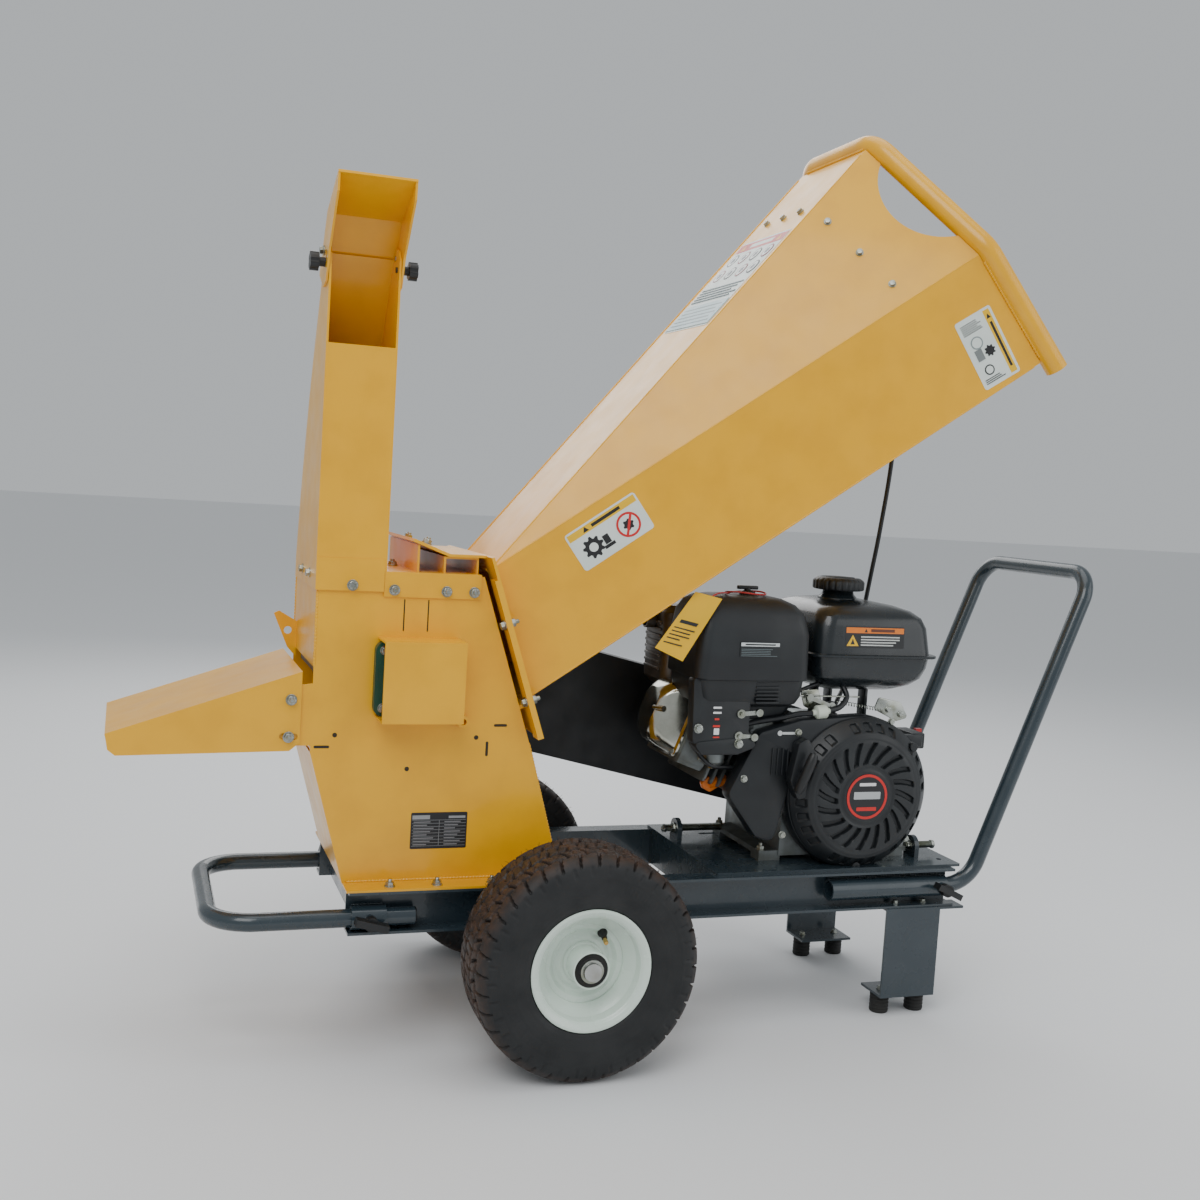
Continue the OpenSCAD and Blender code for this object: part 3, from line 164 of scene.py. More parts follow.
class Shape:
    """Vertices and faces of one piece, gathered from several surfaces, in machine millimetres."""

    def __init__(self):
        self.points, self.faces, self.inks, self.count = [], [], [], 0

    def add(self, points, faces, ink=None):
        """Adds points and faces, with one colour for all of the faces."""
        points = np.asarray(points, float).reshape(-1, 3)
        self.points.append(points)
        self.faces += [[int(i) + self.count for i in f] for f in faces]
        self.inks += [ink or (1.0, 1.0, 1.0)] * len(faces)
        self.count += len(points)
        return self

    def grid(self, p, wrap_u=True, wrap_v=False, caps=True, ink=None):
        """Quads of a grid of points p[u, v]; wrap joins the last row to the first, caps close v's ends."""
        nu, nv = p.shape[:2]
        iu, iv = np.arange(nu if wrap_u else nu - 1), np.arange(nv if wrap_v else nv - 1)
        a, b = np.meshgrid(iu, iv, indexing="ij")
        a1, b1 = (a + 1) % nu, (b + 1) % nv
        quads = np.stack([a * nv + b, a1 * nv + b, a1 * nv + b1, a * nv + b1], -1).reshape(-1, 4)
        faces = quads.tolist()
        if caps and wrap_u and not wrap_v:
            faces += [[i * nv for i in range(nu)], [i * nv + nv - 1 for i in range(nu)][::-1]]
        return self.add(p.reshape(-1, 3), faces, ink)

    def revolve(self, profile, at, axis, n=64, closed=False, ink=None):
        """Turns a profile of (radius, height) about the axis through at: at + h w + r (u cos t + v sin t)."""
        f = frame_of(axis)
        prof = np.asarray(profile, float)
        t = np.arange(n) * 2 * math.pi / n
        ring = np.cos(t)[:, None] * f[:, 0] + np.sin(t)[:, None] * f[:, 1]
        p = np.asarray(at) + prof[None, :, :1] * ring[:, None, :] + prof[None, :, 1:] * f[:, 2]
        return self.grid(p, True, closed, not closed, ink)

    def loft(self, rings, ink=None):
        """Skin through rings of equally many 3-D points, closed at both ends."""
        return self.grid(np.stack([np.asarray(r, float) for r in rings], 1), True, False, True, ink)

    def prism(self, outline, lo, hi, place=None, bevel=0.0, ink=None):
        """A flat outline drawn out from lo to hi, its edges rolled over by the bevel."""
        o = np.asarray(outline, float)
        levels = [(lo, bevel), (lo + 0.3 * bevel, 0.3 * bevel), (lo + bevel, 0.0),
                  (hi - bevel, 0.0), (hi - 0.3 * bevel, 0.3 * bevel),
                  (hi, bevel)] if bevel else [(lo, 0), (hi, 0)]
        place = place or (lambda a, b, h: np.column_stack([a, np.full_like(a, h), b]))
        rings = []
        for h, d in levels:
            q = inset(o, d) if d else o
            rings.append(place(q[:, 0], q[:, 1], float(h)))
        return self.loft(rings, ink)

    def box(self, lo, hi, r=1.5, ink=None):
        """A block with rounded upright edges and rolled top and bottom."""
        r = min(r, *(0.45 * (b - a) for a, b in zip(lo, hi)))
        o = rounded_rect(lo[0], hi[0], lo[1], hi[1], r, 3)
        return self.prism(o, lo[2], hi[2],
                          lambda a, b, h: np.column_stack([a, b, np.full_like(a, h)]), 0.6 * r, ink)

    def tube(self, points, r, sides=24, caps=True, ink=None):
        """A tube swept along the points; its section turns as little as it can between them."""
        p = np.asarray(points, float)
        t = np.gradient(p, axis=0)
        t /= np.linalg.norm(t, axis=1)[:, None]
        u = frame_of(t[0])[:, 0]
        r = np.broadcast_to(np.asarray(r, float), (len(p),))
        a = np.arange(sides) * 2 * math.pi / sides
        rings = []
        for i in range(len(p)):
            u = unit(u - (u @ t[i]) * t[i])
            v = np.cross(t[i], u)
            rings.append(p[i] + r[i] * (np.cos(a)[:, None] * u + np.sin(a)[:, None] * v))
        return self.grid(np.stack(rings, 1), True, False, caps, ink)

    def bolt(self, at, axis, d=8.0, washer=True, stub=0.0):
        """Washer, and a hexagon head whose corners are cut by a cone: radius min(hexagon, circle)."""
        f = frame_of(axis)
        at = np.asarray(at, float)
        base = 1.6 if washer else 0.0
        if washer:
            self.revolve([(d * 0.5, 0), (d, 0), (d, 1.3), (d - 0.3, 1.6), (d * 0.5, 1.6)], at, axis, 32)
        t = np.arange(36) * 2 * math.pi / 36
        across = d * 0.82
        hexa = across * math.cos(math.pi / 6) / np.cos((t % (math.pi / 3)) - math.pi / 6)
        ring = np.cos(t)[:, None] * f[:, 0] + np.sin(t)[:, None] * f[:, 1]
        top = base + d * 0.65
        levels = [(base, hexa), (top - 0.16 * d, hexa), (top - 0.05 * d, np.minimum(hexa, across * 0.93)),
                  (top, np.full_like(t, across * 0.80)), (top, np.full_like(t, across * 0.45)),
                  (top - 0.05 * d, np.full_like(t, across * 0.40))]
        self.grid(np.stack([at + h * f[:, 2] + r[:, None] * ring for h, r in levels], 1))
        if stub:
            self.revolve([(0.3, top), (d * 0.42, top), (d * 0.42, top + stub - 1), (d * 0.34, top + stub),
                          (0.3, top + stub)], at, axis, 20)
        return self

    def bead(self, a, b, r=2.6, bulge=0.35, pitch=5.0, lift=(0, 0, 0)):
        """A weld bead from a to b: a round bar whose radius swells once in each pitch."""
        a, b = np.asarray(a, float) + lift, np.asarray(b, float) + lift
        n = max(8, int(np.linalg.norm(b - a) / pitch * 5))
        s = np.linspace(0, 1, n)
        radius = r * (1 - bulge * np.abs(np.sin(s * np.linalg.norm(b - a) / pitch * math.pi)) ** 3)
        radius[0] = radius[-1] = r * 0.35
        return self.tube(a + s[:, None] * (b - a), radius, 8)

    def make(self, name, body, slot, finish, replaces=(), angle=35.0, flat=False):
        """Turns what was gathered into one Blender piece that rides on a CAD body."""
        if not self.count:
            raise RuntimeError(f"{name} has no surface")
        mesh = bpy.data.meshes.new(name)
        mesh.from_pydata(row(np.concatenate(self.points)).tolist(), [], self.faces)
        ink = mesh.attributes.new("ink", "FLOAT_COLOR", "FACE")
        ink.data.foreach_set("color", np.array([(*c, 1.0) for c in self.inks], np.float32).ravel())
        bm = bmesh.new()
        bm.from_mesh(mesh)
        bmesh.ops.remove_doubles(bm, verts=bm.verts, dist=2e-7)
        bmesh.ops.recalc_face_normals(bm, faces=bm.faces)
        bm.to_mesh(mesh)
        bm.free()
        mesh.shade_smooth()
        if flat:
            mesh.shade_flat()
        else:
            mesh.set_sharp_from_angle(angle=math.radians(angle))
        mesh.materials.append(finishes()[finish])
        piece = bpy.data.objects.new(name, mesh)
        bpy.context.scene.collection.objects.link(piece)
        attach(piece, body)
        if replaces:
            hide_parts(*replaces)
        return piece


def on_y(y):
    """Places an outline of X and Z at height y."""
    return lambda a, b, h: np.column_stack([a, np.full_like(a, h + y), b])


def in_plane(origin, u, n):
    """Places an outline in the plane through origin whose first axis is u and whose normal is n."""
    u, n = unit(u), unit(n)
    v = np.cross(n, u)
    return lambda a, b, h: np.asarray(origin) + a[:, None] * u + b[:, None] * v + h * n


def smooth_line(points, steps=8):
    """Catmull-Rom curve through the points: each span blends its four nearest points by cubic weights."""
    p = np.asarray(points, float)
    q = np.vstack([2 * p[0] - p[1], p, 2 * p[-1] - p[-2]])
    made = []
    for i in range(1, len(q) - 2):
        for t in np.arange(steps) / steps:
            made.append(0.5 * (2 * q[i] + (q[i + 1] - q[i - 1]) * t
                               + (2 * q[i - 1] - 5 * q[i] + 4 * q[i + 1] - q[i + 2]) * t ** 2
                               + (3 * q[i] - q[i - 1] - 3 * q[i + 1] + q[i + 2]) * t ** 3))
    return np.array(made + [p[-1]])


def step(x, lo, hi):
    """0 below lo, 1 above hi, and 3 t^2 - 2 t^3 between."""
    t = np.clip((x - lo) / (hi - lo), 0, 1)
    return t * t * (3 - 2 * t)


# ---- finishes ----
def group(name, sockets, build):
    """A node group with the given sockets, filled by build(tree, inputs, outputs)."""
    tree = bpy.data.node_groups.new(name, "ShaderNodeTree")
    for label, way, kind, value in sockets:
        s = tree.interface.new_socket(name=label, in_out=way, socket_type=kind)
        if value is not None:
            s.default_value = value
    build(tree, tree.nodes.new("NodeGroupInput"), tree.nodes.new("NodeGroupOutput"))
    return tree


def node(tree, kind, **values):
    """A node with its properties and named or numbered inputs set."""
    made = tree.nodes.new(kind)
    for key, value in values.items():
        if key.startswith("in_"):
            k = key[3:]
            made.inputs[int(k) if k.isdigit() else k.replace("_", " ")].default_value = value
        else:
            setattr(made, key, value)
    return made


def noise_at(tree, scale_socket, detail=3.0):
    """Noise in object coordinates."""
    coords = node(tree, "ShaderNodeTexCoord")
    noise = node(tree, "ShaderNodeTexNoise", in_Detail=detail)
    tree.links.new(coords.outputs["Object"], noise.inputs["Vector"])
    tree.links.new(scale_socket, noise.inputs["Scale"])
    return noise


def build_mottle(tree, gi, go):
    """Colour between two colours, by noise."""
    noise = noise_at(tree, gi.outputs["Scale"], 5.0)
    ramp = node(tree, "ShaderNodeMapRange", in_1=0.42, in_2=0.66)
    mix = node(tree, "ShaderNodeMix", data_type="RGBA")
    tree.links.new(noise.outputs["Fac"], ramp.inputs[0])
    tree.links.new(ramp.outputs[0], mix.inputs[0])
    tree.links.new(gi.outputs["First"], mix.inputs[6])
    tree.links.new(gi.outputs["Second"], mix.inputs[7])
    tree.links.new(mix.outputs[2], go.inputs[0])


def build_grain(tree, gi, go):
    """Bumped normal from noise."""
    noise = noise_at(tree, gi.outputs["Scale"], 2.0)
    bump = node(tree, "ShaderNodeBump")
    tree.links.new(noise.outputs["Fac"], bump.inputs["Height"])
    tree.links.new(gi.outputs["Strength"], bump.inputs["Strength"])
    tree.links.new(gi.outputs["Depth"], bump.inputs["Distance"])
    tree.links.new(bump.outputs[0], go.inputs[0])


def build_shine(tree, gi, go):
    """Roughness between two values, by noise."""
    noise = noise_at(tree, gi.outputs["Scale"], 6.0)
    ramp = node(tree, "ShaderNodeMapRange", in_1=0.35, in_2=0.68)
    tree.links.new(noise.outputs["Fac"], ramp.inputs[0])
    tree.links.new(gi.outputs["Low"], ramp.inputs[3])
    tree.links.new(gi.outputs["High"], ramp.inputs[4])
    tree.links.new(ramp.outputs[0], go.inputs[0])


def groups():
    """The three shared effects, made once."""
    if "groups" not in STATE:
        f, c, v = "NodeSocketFloat", "NodeSocketColor", "NodeSocketVector"
        STATE["groups"] = {
            "mottle": group("colour_mottle", [("Color", "OUTPUT", c, None), ("First", "INPUT", c, None),
                            ("Second", "INPUT", c, None), ("Scale", "INPUT", f, 20.0)], build_mottle),
            "grain": group("surface_grain", [("Normal", "OUTPUT", v, None), ("Scale", "INPUT", f, 400.0),
                           ("Strength", "INPUT", f, 0.2), ("Depth", "INPUT", f, 0.0002)], build_grain),
            "shine": group("roughness_range",
                           [("Roughness", "OUTPUT", f, None), ("Scale", "INPUT", f, 30.0),
                           ("Low", "INPUT", f, 0.2), ("High", "INPUT", f, 0.4)], build_shine),
        }
    return STATE["groups"]


def use(tree, which, **values):
    """A shared group placed in a material."""
    made = tree.nodes.new("ShaderNodeGroup")
    made.node_tree = groups()[which]
    for key, value in values.items():
        made.inputs[key].default_value = value
    return made


def finish(name, first, second=None, rough=(0.3, 0.4), metal=0.0, coat=0.0, grain=(400.0, 0.2, 0.0002),
           mottle=18.0, shine=25.0, special=None):
    """One procedural material: mottled colour, varying roughness and grain, on a Principled surface."""
    mat = bpy.data.materials.new(name)
    mat.use_nodes = True
    tree = mat.node_tree
    surface = tree.nodes["Principled BSDF"]
    surface.inputs["Metallic"].default_value = metal
    surface.inputs["Coat Weight"].default_value = coat
    surface.inputs["Coat Roughness"].default_value = 0.08
    colour = use(tree, "mottle", First=(*first, 1), Second=(*(second or first), 1), Scale=mottle).outputs[0]
    if special:
        colour = special(tree, colour)
    tree.links.new(colour, surface.inputs["Base Color"])
    tree.links.new(use(tree, "shine", Low=rough[0], High=rough[1], Scale=shine).outputs[0],
                   surface.inputs["Roughness"])
    tree.links.new(use(tree, "grain", Scale=grain[0], Strength=grain[1], Depth=grain[2]).outputs[0],
                   surface.inputs["Normal"])
    return mat


def mixed(tree, mask, under, over):
    """Colour over where the mask is 1."""
    mix = node(tree, "ShaderNodeMix", data_type="RGBA")
    mix.inputs[7].default_value = (*over, 1)
    tree.links.new(mask, mix.inputs[0])
    tree.links.new(under, mix.inputs[6])
    return mix.outputs[2]


def tread_dust(tree, under):
    """Brown dust beyond a radius from the wheel's axis: sqrt((x - x0)^2 + (z - z0)^2), broken up by noise."""
    coords = node(tree, "ShaderNodeTexCoord")
    centre = row((0, 0, AXLE_Z))
    shift = node(tree, "ShaderNodeVectorMath", operation="SUBTRACT", in_1=tuple(centre))
    flat = node(tree, "ShaderNodeVectorMath", operation="MULTIPLY", in_1=(1, 0, 1))
    length = node(tree, "ShaderNodeVectorMath", operation="LENGTH")
    rim = node(tree, "ShaderNodeMapRange", in_1=0.150, in_2=0.165)
    noise = node(tree, "ShaderNodeTexNoise", in_Scale=70.0, in_Detail=6.0)
    ragged = node(tree, "ShaderNodeMapRange", in_1=0.38, in_2=0.6, in_3=0.25, in_4=0.85)
    mask = node(tree, "ShaderNodeMath", operation="MULTIPLY")
    link = tree.links.new
    link(coords.outputs["Object"], shift.inputs[0])
    link(shift.outputs[0], flat.inputs[0])
    link(flat.outputs[0], length.inputs[0])
    link(length.outputs["Value"], rim.inputs[0])
    link(coords.outputs["Object"], noise.inputs["Vector"])
    link(noise.outputs["Fac"], ragged.inputs[0])
    link(rim.outputs[0], mask.inputs[0])
    link(ragged.outputs[0], mask.inputs[1])
    return mixed(tree, mask.outputs[0], under, (0.060, 0.030, 0.017))


def inked(tree, under):
    """The colour stored on each face."""
    ink = node(tree, "ShaderNodeAttribute", attribute_name="ink")
    mix = node(tree, "ShaderNodeMix", data_type="RGBA", blend_type="MULTIPLY")
    mix.inputs[0].default_value = 1.0
    tree.links.new(ink.outputs["Color"], mix.inputs[6])
    tree.links.new(under, mix.inputs[7])
    return mix.outputs[2]


def low_painted_shade(tree, under):
    """Brown film that grows towards the ground, by height z and noise."""
    coords = node(tree, "ShaderNodeTexCoord")
    split = node(tree, "ShaderNodeSeparateXYZ")
    low = node(tree, "ShaderNodeMapRange", in_1=0.36, in_2=0.20, in_3=0.0, in_4=0.35)
    noise = node(tree, "ShaderNodeTexNoise", in_Scale=14.0, in_Detail=8.0)
    mask = node(tree, "ShaderNodeMath", operation="MULTIPLY")
    tree.links.new(coords.outputs["Object"], split.inputs[0])
    tree.links.new(split.outputs["Z"], low.inputs[0])
    tree.links.new(coords.outputs["Object"], noise.inputs["Vector"])
    tree.links.new(low.outputs[0], mask.inputs[0])
    tree.links.new(noise.outputs["Fac"], mask.inputs[1])
    # the brown mixed in here is painted shade on the low sheets
    return mixed(tree, mask.outputs[0], under, (0.34, 0.17, 0.03))


def finishes():
    """Every material, made once, by name. Names are also the record's slots, with a few more."""
    if "finishes" in STATE:
        return STATE["finishes"]
    look = bpy.context.scene.chipper_look
    peel = (260.0, look.peel, 0.0004)
    made = {
        # the yellow paint gets painted shade, a darker brown towards the ground
        "yellow_paint": finish("yellow_paint", (0.86, 0.43, 0.0), (0.80, 0.39, 0.0), (0.28, 0.38),
                               coat=0.2, grain=peel, special=low_painted_shade),
        "frame_paint": finish("frame_paint", (0.020, 0.034, 0.044), (0.026, 0.040, 0.050), (0.22, 0.34),
                              coat=0.4, grain=peel),
        "black_paint": finish("black_paint", (0.010, 0.013, 0.017), (0.016, 0.019, 0.023), (0.38, 0.52),
                              grain=(300, 0.15, 0.0003)),
        "satin_black": finish("satin_black", (0.008, 0.010, 0.012), (0.012, 0.015, 0.018), (0.36, 0.50),
                              grain=(700, 0.25, 0.0002)),
        "moulded_black": finish("moulded_black", (0.009, 0.011, 0.013), (0.014, 0.017, 0.019), (0.38, 0.52),
                                grain=(900, 0.3, 0.0002)),
        "gloss_black": finish("gloss_black", (0.009, 0.013, 0.016), (0.012, 0.017, 0.020), (0.24, 0.34),
                              coat=0.25, grain=(350, 0.12, 0.0003)),
        "zinc": finish("zinc", (0.42, 0.44, 0.41), (0.30, 0.31, 0.25), (0.22, 0.42), 1.0,
                       grain=(500, 0.2, 0.0001), mottle=60),
        "bright_steel": finish("bright_steel", (0.50, 0.51, 0.50), (0.38, 0.38, 0.36), (0.20, 0.38), 1.0,
                               grain=(600, 0.2, 0.0001), mottle=40),
        "tool_steel": finish("tool_steel", (0.42, 0.42, 0.43), (0.32, 0.32, 0.33), (0.25, 0.42), 1.0,
                             grain=(500, 0.2, 0.0001)),
        "rotor_steel": finish("rotor_steel", (0.20, 0.20, 0.20), (0.13, 0.12, 0.11), (0.40, 0.60), 0.8,
                              grain=(250, 0.4, 0.0004)),
        "pulley_iron": finish("pulley_iron", (0.10, 0.10, 0.105), (0.06, 0.06, 0.06), (0.35, 0.55), 0.9,
                              grain=(250, 0.4, 0.0004)),
        "green_casting": finish("green_casting", (0.012, 0.075, 0.045), (0.016, 0.055, 0.035), (0.32, 0.5),
                                grain=(260, 0.6, 0.0008)),
        "cast_alloy": finish("cast_alloy", (0.23, 0.25, 0.25), (0.15, 0.16, 0.15), (0.42, 0.62), 0.85,
                             grain=(420, 0.7, 0.0005), mottle=30),
        "polished_alloy": finish("polished_alloy", (0.50, 0.50, 0.44), (0.40, 0.40, 0.34), (0.12, 0.26),
                                 1.0, grain=(120, 0.12, 0.0004), mottle=26),
        "heat_steel": finish("heat_steel", (0.16, 0.15, 0.14), (0.10, 0.08, 0.065), (0.36, 0.6), 0.9,
                             grain=(300, 0.3, 0.0003)),
        "knob_plastic": finish("knob_plastic", (0.010, 0.011, 0.012), (0.014, 0.015, 0.016), (0.36, 0.5),
                               grain=(800, 0.3, 0.0002)),
        "red_plastic": finish("red_plastic", (0.50, 0.010, 0.008), (0.44, 0.008, 0.006), (0.25, 0.36),
                              coat=0.2, grain=(500, 0.1, 0.0002)),
        "foot_rubber": finish("foot_rubber", (0.012, 0.012, 0.012), (0.02, 0.019, 0.017), (0.6, 0.8),
                              grain=(500, 0.5, 0.0004)),
        "belt_rubber": finish("belt_rubber", (0.012, 0.012, 0.012), (0.018, 0.017, 0.016), (0.6, 0.8),
                              grain=(700, 0.5, 0.0003)),
        "cable_rubber": finish("cable_rubber", (0.010, 0.012, 0.014), None, (0.32, 0.45),
                               grain=(700, 0.15, 0.0002)),
        "curtain_rubber": finish("curtain_rubber", (0.016, 0.016, 0.016), (0.024, 0.023, 0.021),
                                 (0.55, 0.75), grain=(350, 0.5, 0.0005)),
        "tyre_rubber": finish("tyre_rubber", (0.007, 0.008, 0.009), (0.011, 0.012, 0.013), (0.5, 0.72),
                              grain=(380, 0.5, 0.0005), special=tread_dust),
        "white_rim": finish("white_rim", (0.66, 0.76, 0.68), (0.60, 0.71, 0.62), (0.20, 0.34), coat=0.4,
                            grain=(150, 0.12, 0.0006), mottle=9),
        "brass": finish("brass", (0.62, 0.40, 0.13), (0.50, 0.30, 0.09), (0.22, 0.36), 1.0,
                        grain=(500, 0.2, 0.0001)),
        "orange_plastic": finish("orange_plastic", (0.80, 0.20, 0.005), (0.70, 0.16, 0.005), (0.35, 0.45),
                                 grain=(500, 0.2, 0.0002)),
        "white_plastic": finish("white_plastic", (0.62, 0.68, 0.58), (0.55, 0.60, 0.48), (0.35, 0.5),
                                grain=(500, 0.2, 0.0002)),
        "print": finish("print", (1.0, 1.0, 1.0), (0.93, 0.94, 0.93), (0.34, 0.42),
                        grain=(500, 0.05, 0.0001), special=inked),
    }
    STATE["finishes"] = made
    return made


# ---- wheels ----
def tread_depth(theta, y, look):
    """Depth of a turf tread: zigzag grooves round it at |y| = 15 and 38, and slanted cross grooves,
    offset by row.
    """
    pitches = look.tread_pitches
    phase = theta / (2 * math.pi) * pitches
    zig = np.abs((phase * 2) % 2 - 1) * 2 - 1
    away = np.minimum.reduce([np.abs(np.abs(y) - g - s * 2.4 * zig) for g,
                              s in ((15.0, 1.0), (38.0, -1.0))])
    ring = 1 - step(away, 1.1, 2.3)
    band = np.where(np.abs(y) < 15 + 2.4 * zig, 0, np.where(np.abs(y) < 38 - 2.4 * zig, 1, 2))
    slant = np.choose(band, [0.012 * y, 0.016 * (np.abs(y) - 26), -0.010 * (np.abs(y) - 48)])
    offset = np.choose(band, [0.0, 0.5, 0.12]) + np.where(y > 0, 0.0, 0.5)
    cross = np.abs((phase + offset + slant) % 1.0 - 0.5) * (1037.0 / pitches)
    lateral = 1 - step(cross, 1.1, 2.3)
    sipe = 0.35 * (1 - step(np.abs((phase * 2 + offset * 2 + 0.5 + slant) % 1.0 - 0.5) * (518.0 / pitches),
                            0.3, 0.9))
    sipe = np.where(band == 2, 0, sipe)
    return np.maximum(np.maximum(ring, lateral), sipe)


def build_tyre(side, name, body, node_name):
    """Outer skin r(s), y(s) of the tyre with the tread cut into it, closed by the inner skin and beads."""
    look = bpy.context.scene.chipper_look
    outer = [(78, 53.6), (88, 53.8), (91, 57), (103, 60.4), (118, 62.5), (136, 62.6),
             (147, 61.4), (155, 57.5),
             (160.5, 51), (163.4, 42), (164.6, 30), (164.9, 14), (164.9, 0)]
    half = smooth_line([(a, b, 0) for a, b in outer], 6)[:, :2]
    skin = np.vstack([half, (half * (1, -1))[::-1][1:]])
    length = np.r_[0, np.cumsum(np.linalg.norm(np.diff(skin, axis=0), axis=1))]
    s = np.linspace(0, length[-1], look.tread_rows)
    skin = np.column_stack([np.interp(s, length, skin[:, 0]), np.interp(s, length, skin[:, 1])])
    inner = np.array([(76, -52), (76, -40), (82, -39), (92, -50), (130, -54), (150, -42), (156, 0),
                      (150, 42), (130, 54), (92, 50), (82, 39), (76, 40), (76, 52)], float)
    n = look.tread_columns
    theta = np.arange(n) * 2 * math.pi / n
    r = np.broadcast_to(skin[:, 0], (n, len(skin))).copy()
    y = np.broadcast_to(skin[:, 1], (n, len(skin)))
    t = theta[:, None]
    on_tread = step(r, 149.0, 152.5)
    r -= look.tread_depth * on_tread * tread_depth(np.broadcast_to(t, r.shape), y, look)
    # shoulder lugs reach down the sidewall, and thin rings and short ribs stand on it
    lug = 1 - step(np.abs((t / (2 * math.pi) * look.tread_pitches + 0.12) % 1.0 - 0.5) * 30, 1.6, 3.0)
    y = y.copy()
    wall = step(r, 137, 141) * (1 - step(r, 149.5, 152)) * (np.abs(y) > 50)
    y -= np.sign(y) * 1.6 * wall * lug
    for ring in (98.0, 112.0, 134.0):
        y += np.sign(y) * 0.5 * (1 - step(np.abs(r - ring), 0.6, 1.6)) * (np.abs(y) > 50)
    ribs = (np.abs(((t * 120 / math.pi) % 2.0) - 1) < 0.5) & (np.abs(r - 124) < 5) & (np.sin(t * 2) > 0.55)
    y += np.sign(y) * 0.4 * ribs
    ring_r = np.concatenate([r, np.broadcast_to(inner[:, 0], (n, len(inner)))], 1)
    ring_y = np.concatenate([y, np.broadcast_to(inner[:, 1], (n, len(inner)))], 1)
    p = np.stack([ring_r * np.cos(t), ring_y + side * WHEEL_Y, AXLE_Z + ring_r * np.sin(t)], -1)
    shape = Shape().grid(p, True, True, False)
    shape.make(name, body, "tyre_rubber", "tyre_rubber", (node_name,), 50)
    # moulding hairs, only on the upper half
    hairs, rng = Shape(), np.random.default_rng(7 + side)
    for _ in range(look.hairs):
        a, w = rng.uniform(0.15, math.pi - 0.15), rng.uniform(-56, 56)
        base = np.interp(abs(w), [0, 14, 30, 42, 51, 57.5, 62],
                         [164.9, 164.9, 164.6, 163.4, 160.5, 155, 147]) - 1
        out = unit((math.cos(a), 0.3 * np.sign(w) * (abs(w) > 45), math.sin(a)))
        root = np.array((base * math.cos(a), side * WHEEL_Y + w, AXLE_Z + base * math.sin(a)))
        bend = rng.normal(0, 1.0, 3)
        tall = rng.uniform(3.5, 7.0)
        hairs.tube([root, root + out * tall * 0.5, root + out * tall + bend], (0.28, 0.25, 0.14), 5)
    hairs.make(name + "_hairs", body, "tyre_rubber", "tyre_rubber")


def build_rim(side, name, body, node_name):
    """Pressed rim: flange, bead seat, well and dished disc as turned profiles,
    a hub tube, bearing and valve.
    """
    at = (0, side * WHEEL_Y, AXLE_Z)
    axis = (0, side, 0)
    shape = Shape()
    shape.revolve(fillet([(76, -54), (87, -54), (88.8, -55.4), (87.8, -57.4), (84, -57.4), (79, -55),
                          (74.5, -51), (72.5, -40), (60, -29), (57.5, 24), (72.5, 38),
                          (74.5, 51), (79, 55), (84, 57.4), (87.8, 57.4), (88.8, 55.4), (87, 54), (76, 54),
                          (76, 39), (63, 27), (63, -28), (76, -40)], 2.2, 3),
                  at, axis, 128, True)
    shape.revolve(fillet([(25, 13), (34, 13), (40, 9), (47, 10), (52, 16), (59.5, 18), (59.5, 21),
                          (50, 19.5), (45, 13.6), (41, 12.4),
                          (35, 16.2), (25, 16.2)], 1.5, 3), at, axis, 128, True)
    shape.revolve(fillet([(24.4, -54), (27, -54), (27, 54), (24.4, 54)], 0.8, 2), at, axis, 96, True)
    shape.revolve(fillet([(26.5, 15.8), (31.5, 16), (29, 19.6), (26.5, 21.4)], 1.0, 2), at, axis, 96, True)
    shape.make(name, body, "white_rim", "white_rim", (node_name,))
    seal = Shape()
    for s in (-1, 1):
        seal.revolve(fillet([(13.2, 46), (24.3, 46), (24.3, 53.6), (21.5, 51.8), (17.5, 51.4), (16, 52.6),
                             (13.2, 52)], 0.6, 2), at, (0, s * side, 0), 72, True)
    seal.make(name + "_seal", body, "foot_rubber", "foot_rubber")
    valve, stem = Shape(), Shape()
    a = math.radians(58)
    foot = np.array((49 * math.cos(a), side * (WHEEL_Y + 18), AXLE_Z + 49 * math.sin(a)))
    lean = unit((-0.25 * math.cos(a), side, -0.25 * math.sin(a)))
    valve.revolve([(0.2, -2), (7, -2), (7.4, 1), (6, 4), (4.2, 8), (4.0, 16), (0.2, 16)], foot, lean, 24)
    stem.revolve([(0.2, 15), (2.6, 15), (2.6, 21), (3.4, 21.4), (3.4, 28), (2.8, 29),
                  (0.2, 29)], foot, lean, 20)
    valve.make(name + "_valve", body, "foot_rubber", "foot_rubber")
    stem.make(name + "_valve_stem", body, "bright_steel", "brass")


def build_wheels():
    for side, word in ((-1, "left"), (1, "right")):
        build_tyre(side, f"tyre_{word}_tread", f"wheel_{word}", f"tyre_{word}")
        build_rim(side, f"rim_{word}_pressed", f"wheel_{word}", f"rim_{word}")
    ends = Shape()
    for s in (-1, 1):
        tip = WHEEL_Y + 62
        ends.revolve([(0.2, tip - 9), (8.5, tip - 9), (8.5, tip - 2), (7.5, tip - 0.6), (0.2, tip - 0.6)],
                     (0, 0, AXLE_Z), (0, s, 0), 32)
        ends.revolve(fillet([(9, tip - 6), (12.4, tip - 6), (12.4, tip - 1.2), (10.6, tip - 0.8),
                             (9, tip - 2.4)], 0.5, 2), (0, 0, AXLE_Z), (0, s, 0), 48, True)
    ends.make("axle_ends", "machine", "bright_steel", "zinc")


